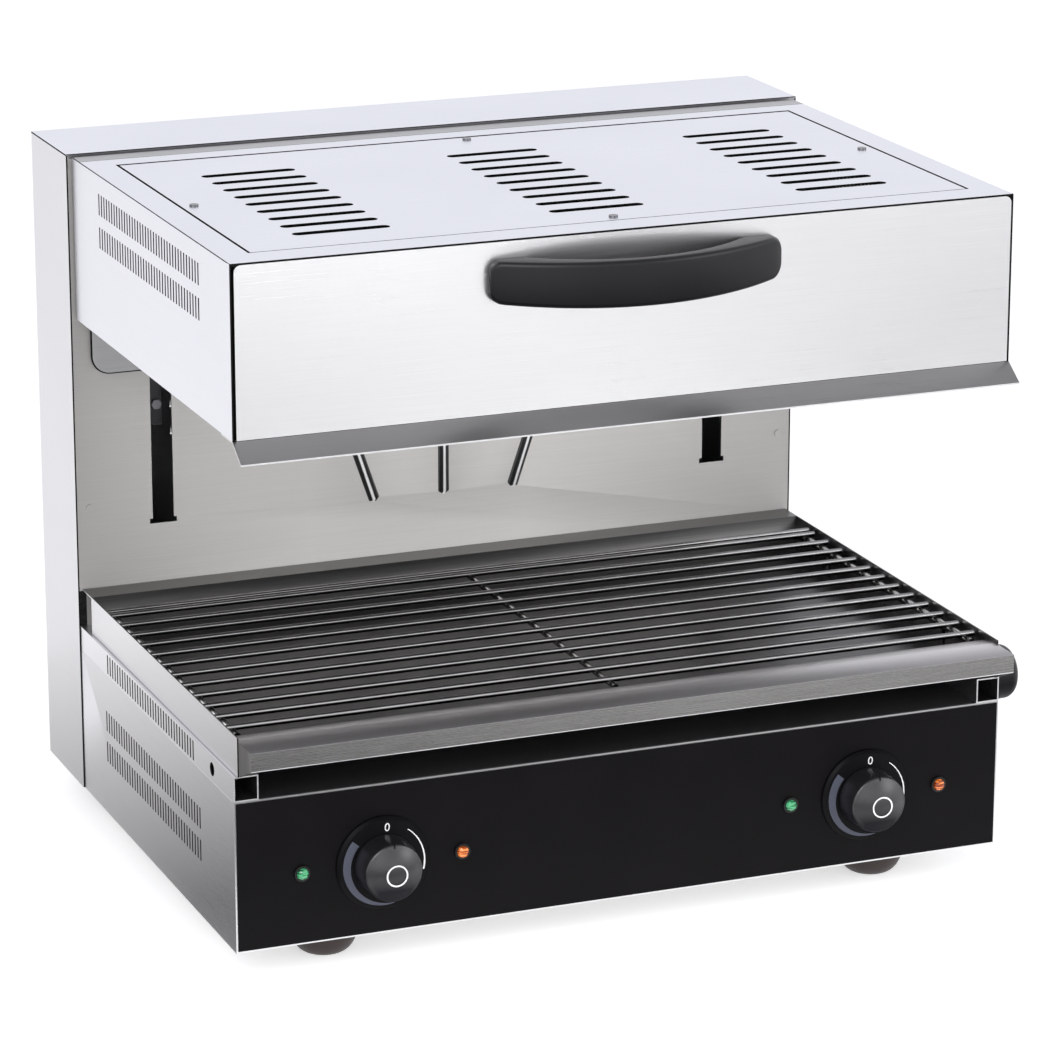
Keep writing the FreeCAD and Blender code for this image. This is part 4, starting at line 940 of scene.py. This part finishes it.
def area_light(name, place, aim, size, power):
    """Rectangular lamp that looks at a point."""
    light = bpy.data.lights.new(name, "AREA")
    light.shape = "RECTANGLE"
    light.size, light.size_y = size
    light.energy = power
    lamp = bpy.data.objects.new(name, light)
    bpy.context.scene.collection.objects.link(lamp)
    lamp.location = place
    lamp.rotation_euler = (Vector(aim) - Vector(place)).to_track_quat("-Z", "Y").to_euler()
    return lamp


area_light("key", (-2.6, -3.2, 3.0), aim=(0, 0, 0.2), size=(2.6, 2.6), power=80)
area_light("fill", (3.2, -3.0, 1.8), aim=(0, 0, 0.2), size=(2.0, 2.0), power=30)
low_fill = area_light("low_fill", (-0.2, -2.6, 0.5), aim=(0, 0, 0.25), size=(1.8, 0.5), power=42)
low_fill.visible_glossy = False


def floor_material():
    """White studio floor that glows a little, as a lit sweep does."""
    material, tree, shader = node_tree("floor_pale")
    colour_by(tree, shader, object_noise(tree, FLOOR_PATCH), [(0.3, 0.86), (0.7, 0.88)])
    shader.inputs["Roughness"].default_value = 0.9
    shader.inputs["Specular IOR Level"].default_value = 0.1
    shader.inputs["Emission Color"].default_value = (1, 1, 1, 1)
    shader.inputs["Emission Strength"].default_value = 0.50
    return material


def sheet(name, x_low, x_high, y_low, y_high, level):
    """Level sheet of the studio."""
    mesh = bpy.data.meshes.new(name)
    corners = [(x_low, y_low, level), (x_high, y_low, level), (x_high, y_high, level), (x_low, y_high, level)]
    mesh.from_pydata(corners, [], [(0, 1, 2, 3)])
    thing = bpy.data.objects.new(name, mesh)
    bpy.context.scene.collection.objects.link(thing)
    return thing


def flag_material(name, axis, start, stop, stops):
    """Glow that changes softly from start to stop along one axis of the floor, and reflects nothing."""
    material, tree, shader = node_tree(name)
    level = component(tree, add(tree, "ShaderNodeTexCoord").outputs["Object"], axis)
    glow = ramp(tree, share_between(tree, level, start, stop), stops)
    tree.links.new(glow, shader.inputs["Emission Color"])
    shader.inputs["Emission Strength"].default_value = 1.0
    shader.inputs["Base Color"].default_value = (0, 0, 0, 1)
    shader.inputs["Specular IOR Level"].default_value = 0.0
    shader.inputs["Roughness"].default_value = 1.0
    return material


def flag(name, x_range, y_range, axis, start, stop, stops):
    """Studio flag: a card just over the floor that only reflections see."""
    card = sheet(name, *x_range, *y_range, FLOOR_Z + 1 * MM)
    paint(card, flag_material(name, axis, start, stop, stops))
    card.visible_camera = False
    card.visible_diffuse = False
    card.visible_shadow = False
    card.visible_transmission = False


FLOOR_SIZE = 40.0
floor = sheet("floor", -FLOOR_SIZE, FLOOR_SIZE, -FLOOR_SIZE, FLOOR_SIZE, FLOOR_Z)
paint(floor, floor_material())
flag("flag_left", (-0.95, -0.325), (-0.55, 0.55), "Y", -0.05, 0.50, [(0.0, 0.20), (1.0, 0.95)])
flag("flag_near", (-0.9, 0.8), (-0.88, -0.40), "X", -0.3, 0.3, [(0.0, 0.10), (1.0, 0.45)])
flag("flag_lip", (-0.9, 0.8), (-1.02, -0.88), "X", -0.12, 0.55, [(0.0, 0.05), (0.4, 0.75), (1.0, 0.60)])
flag("flag_far", (-0.6, 1.6), (-2.3, -1.30), "X", 0.15, 1.0, [(0.0, 0.24), (0.45, 1.08), (1.0, 0.16)])

scene = bpy.context.scene
scene.view_settings.view_transform = "Standard"
scene.view_settings.look = "None"
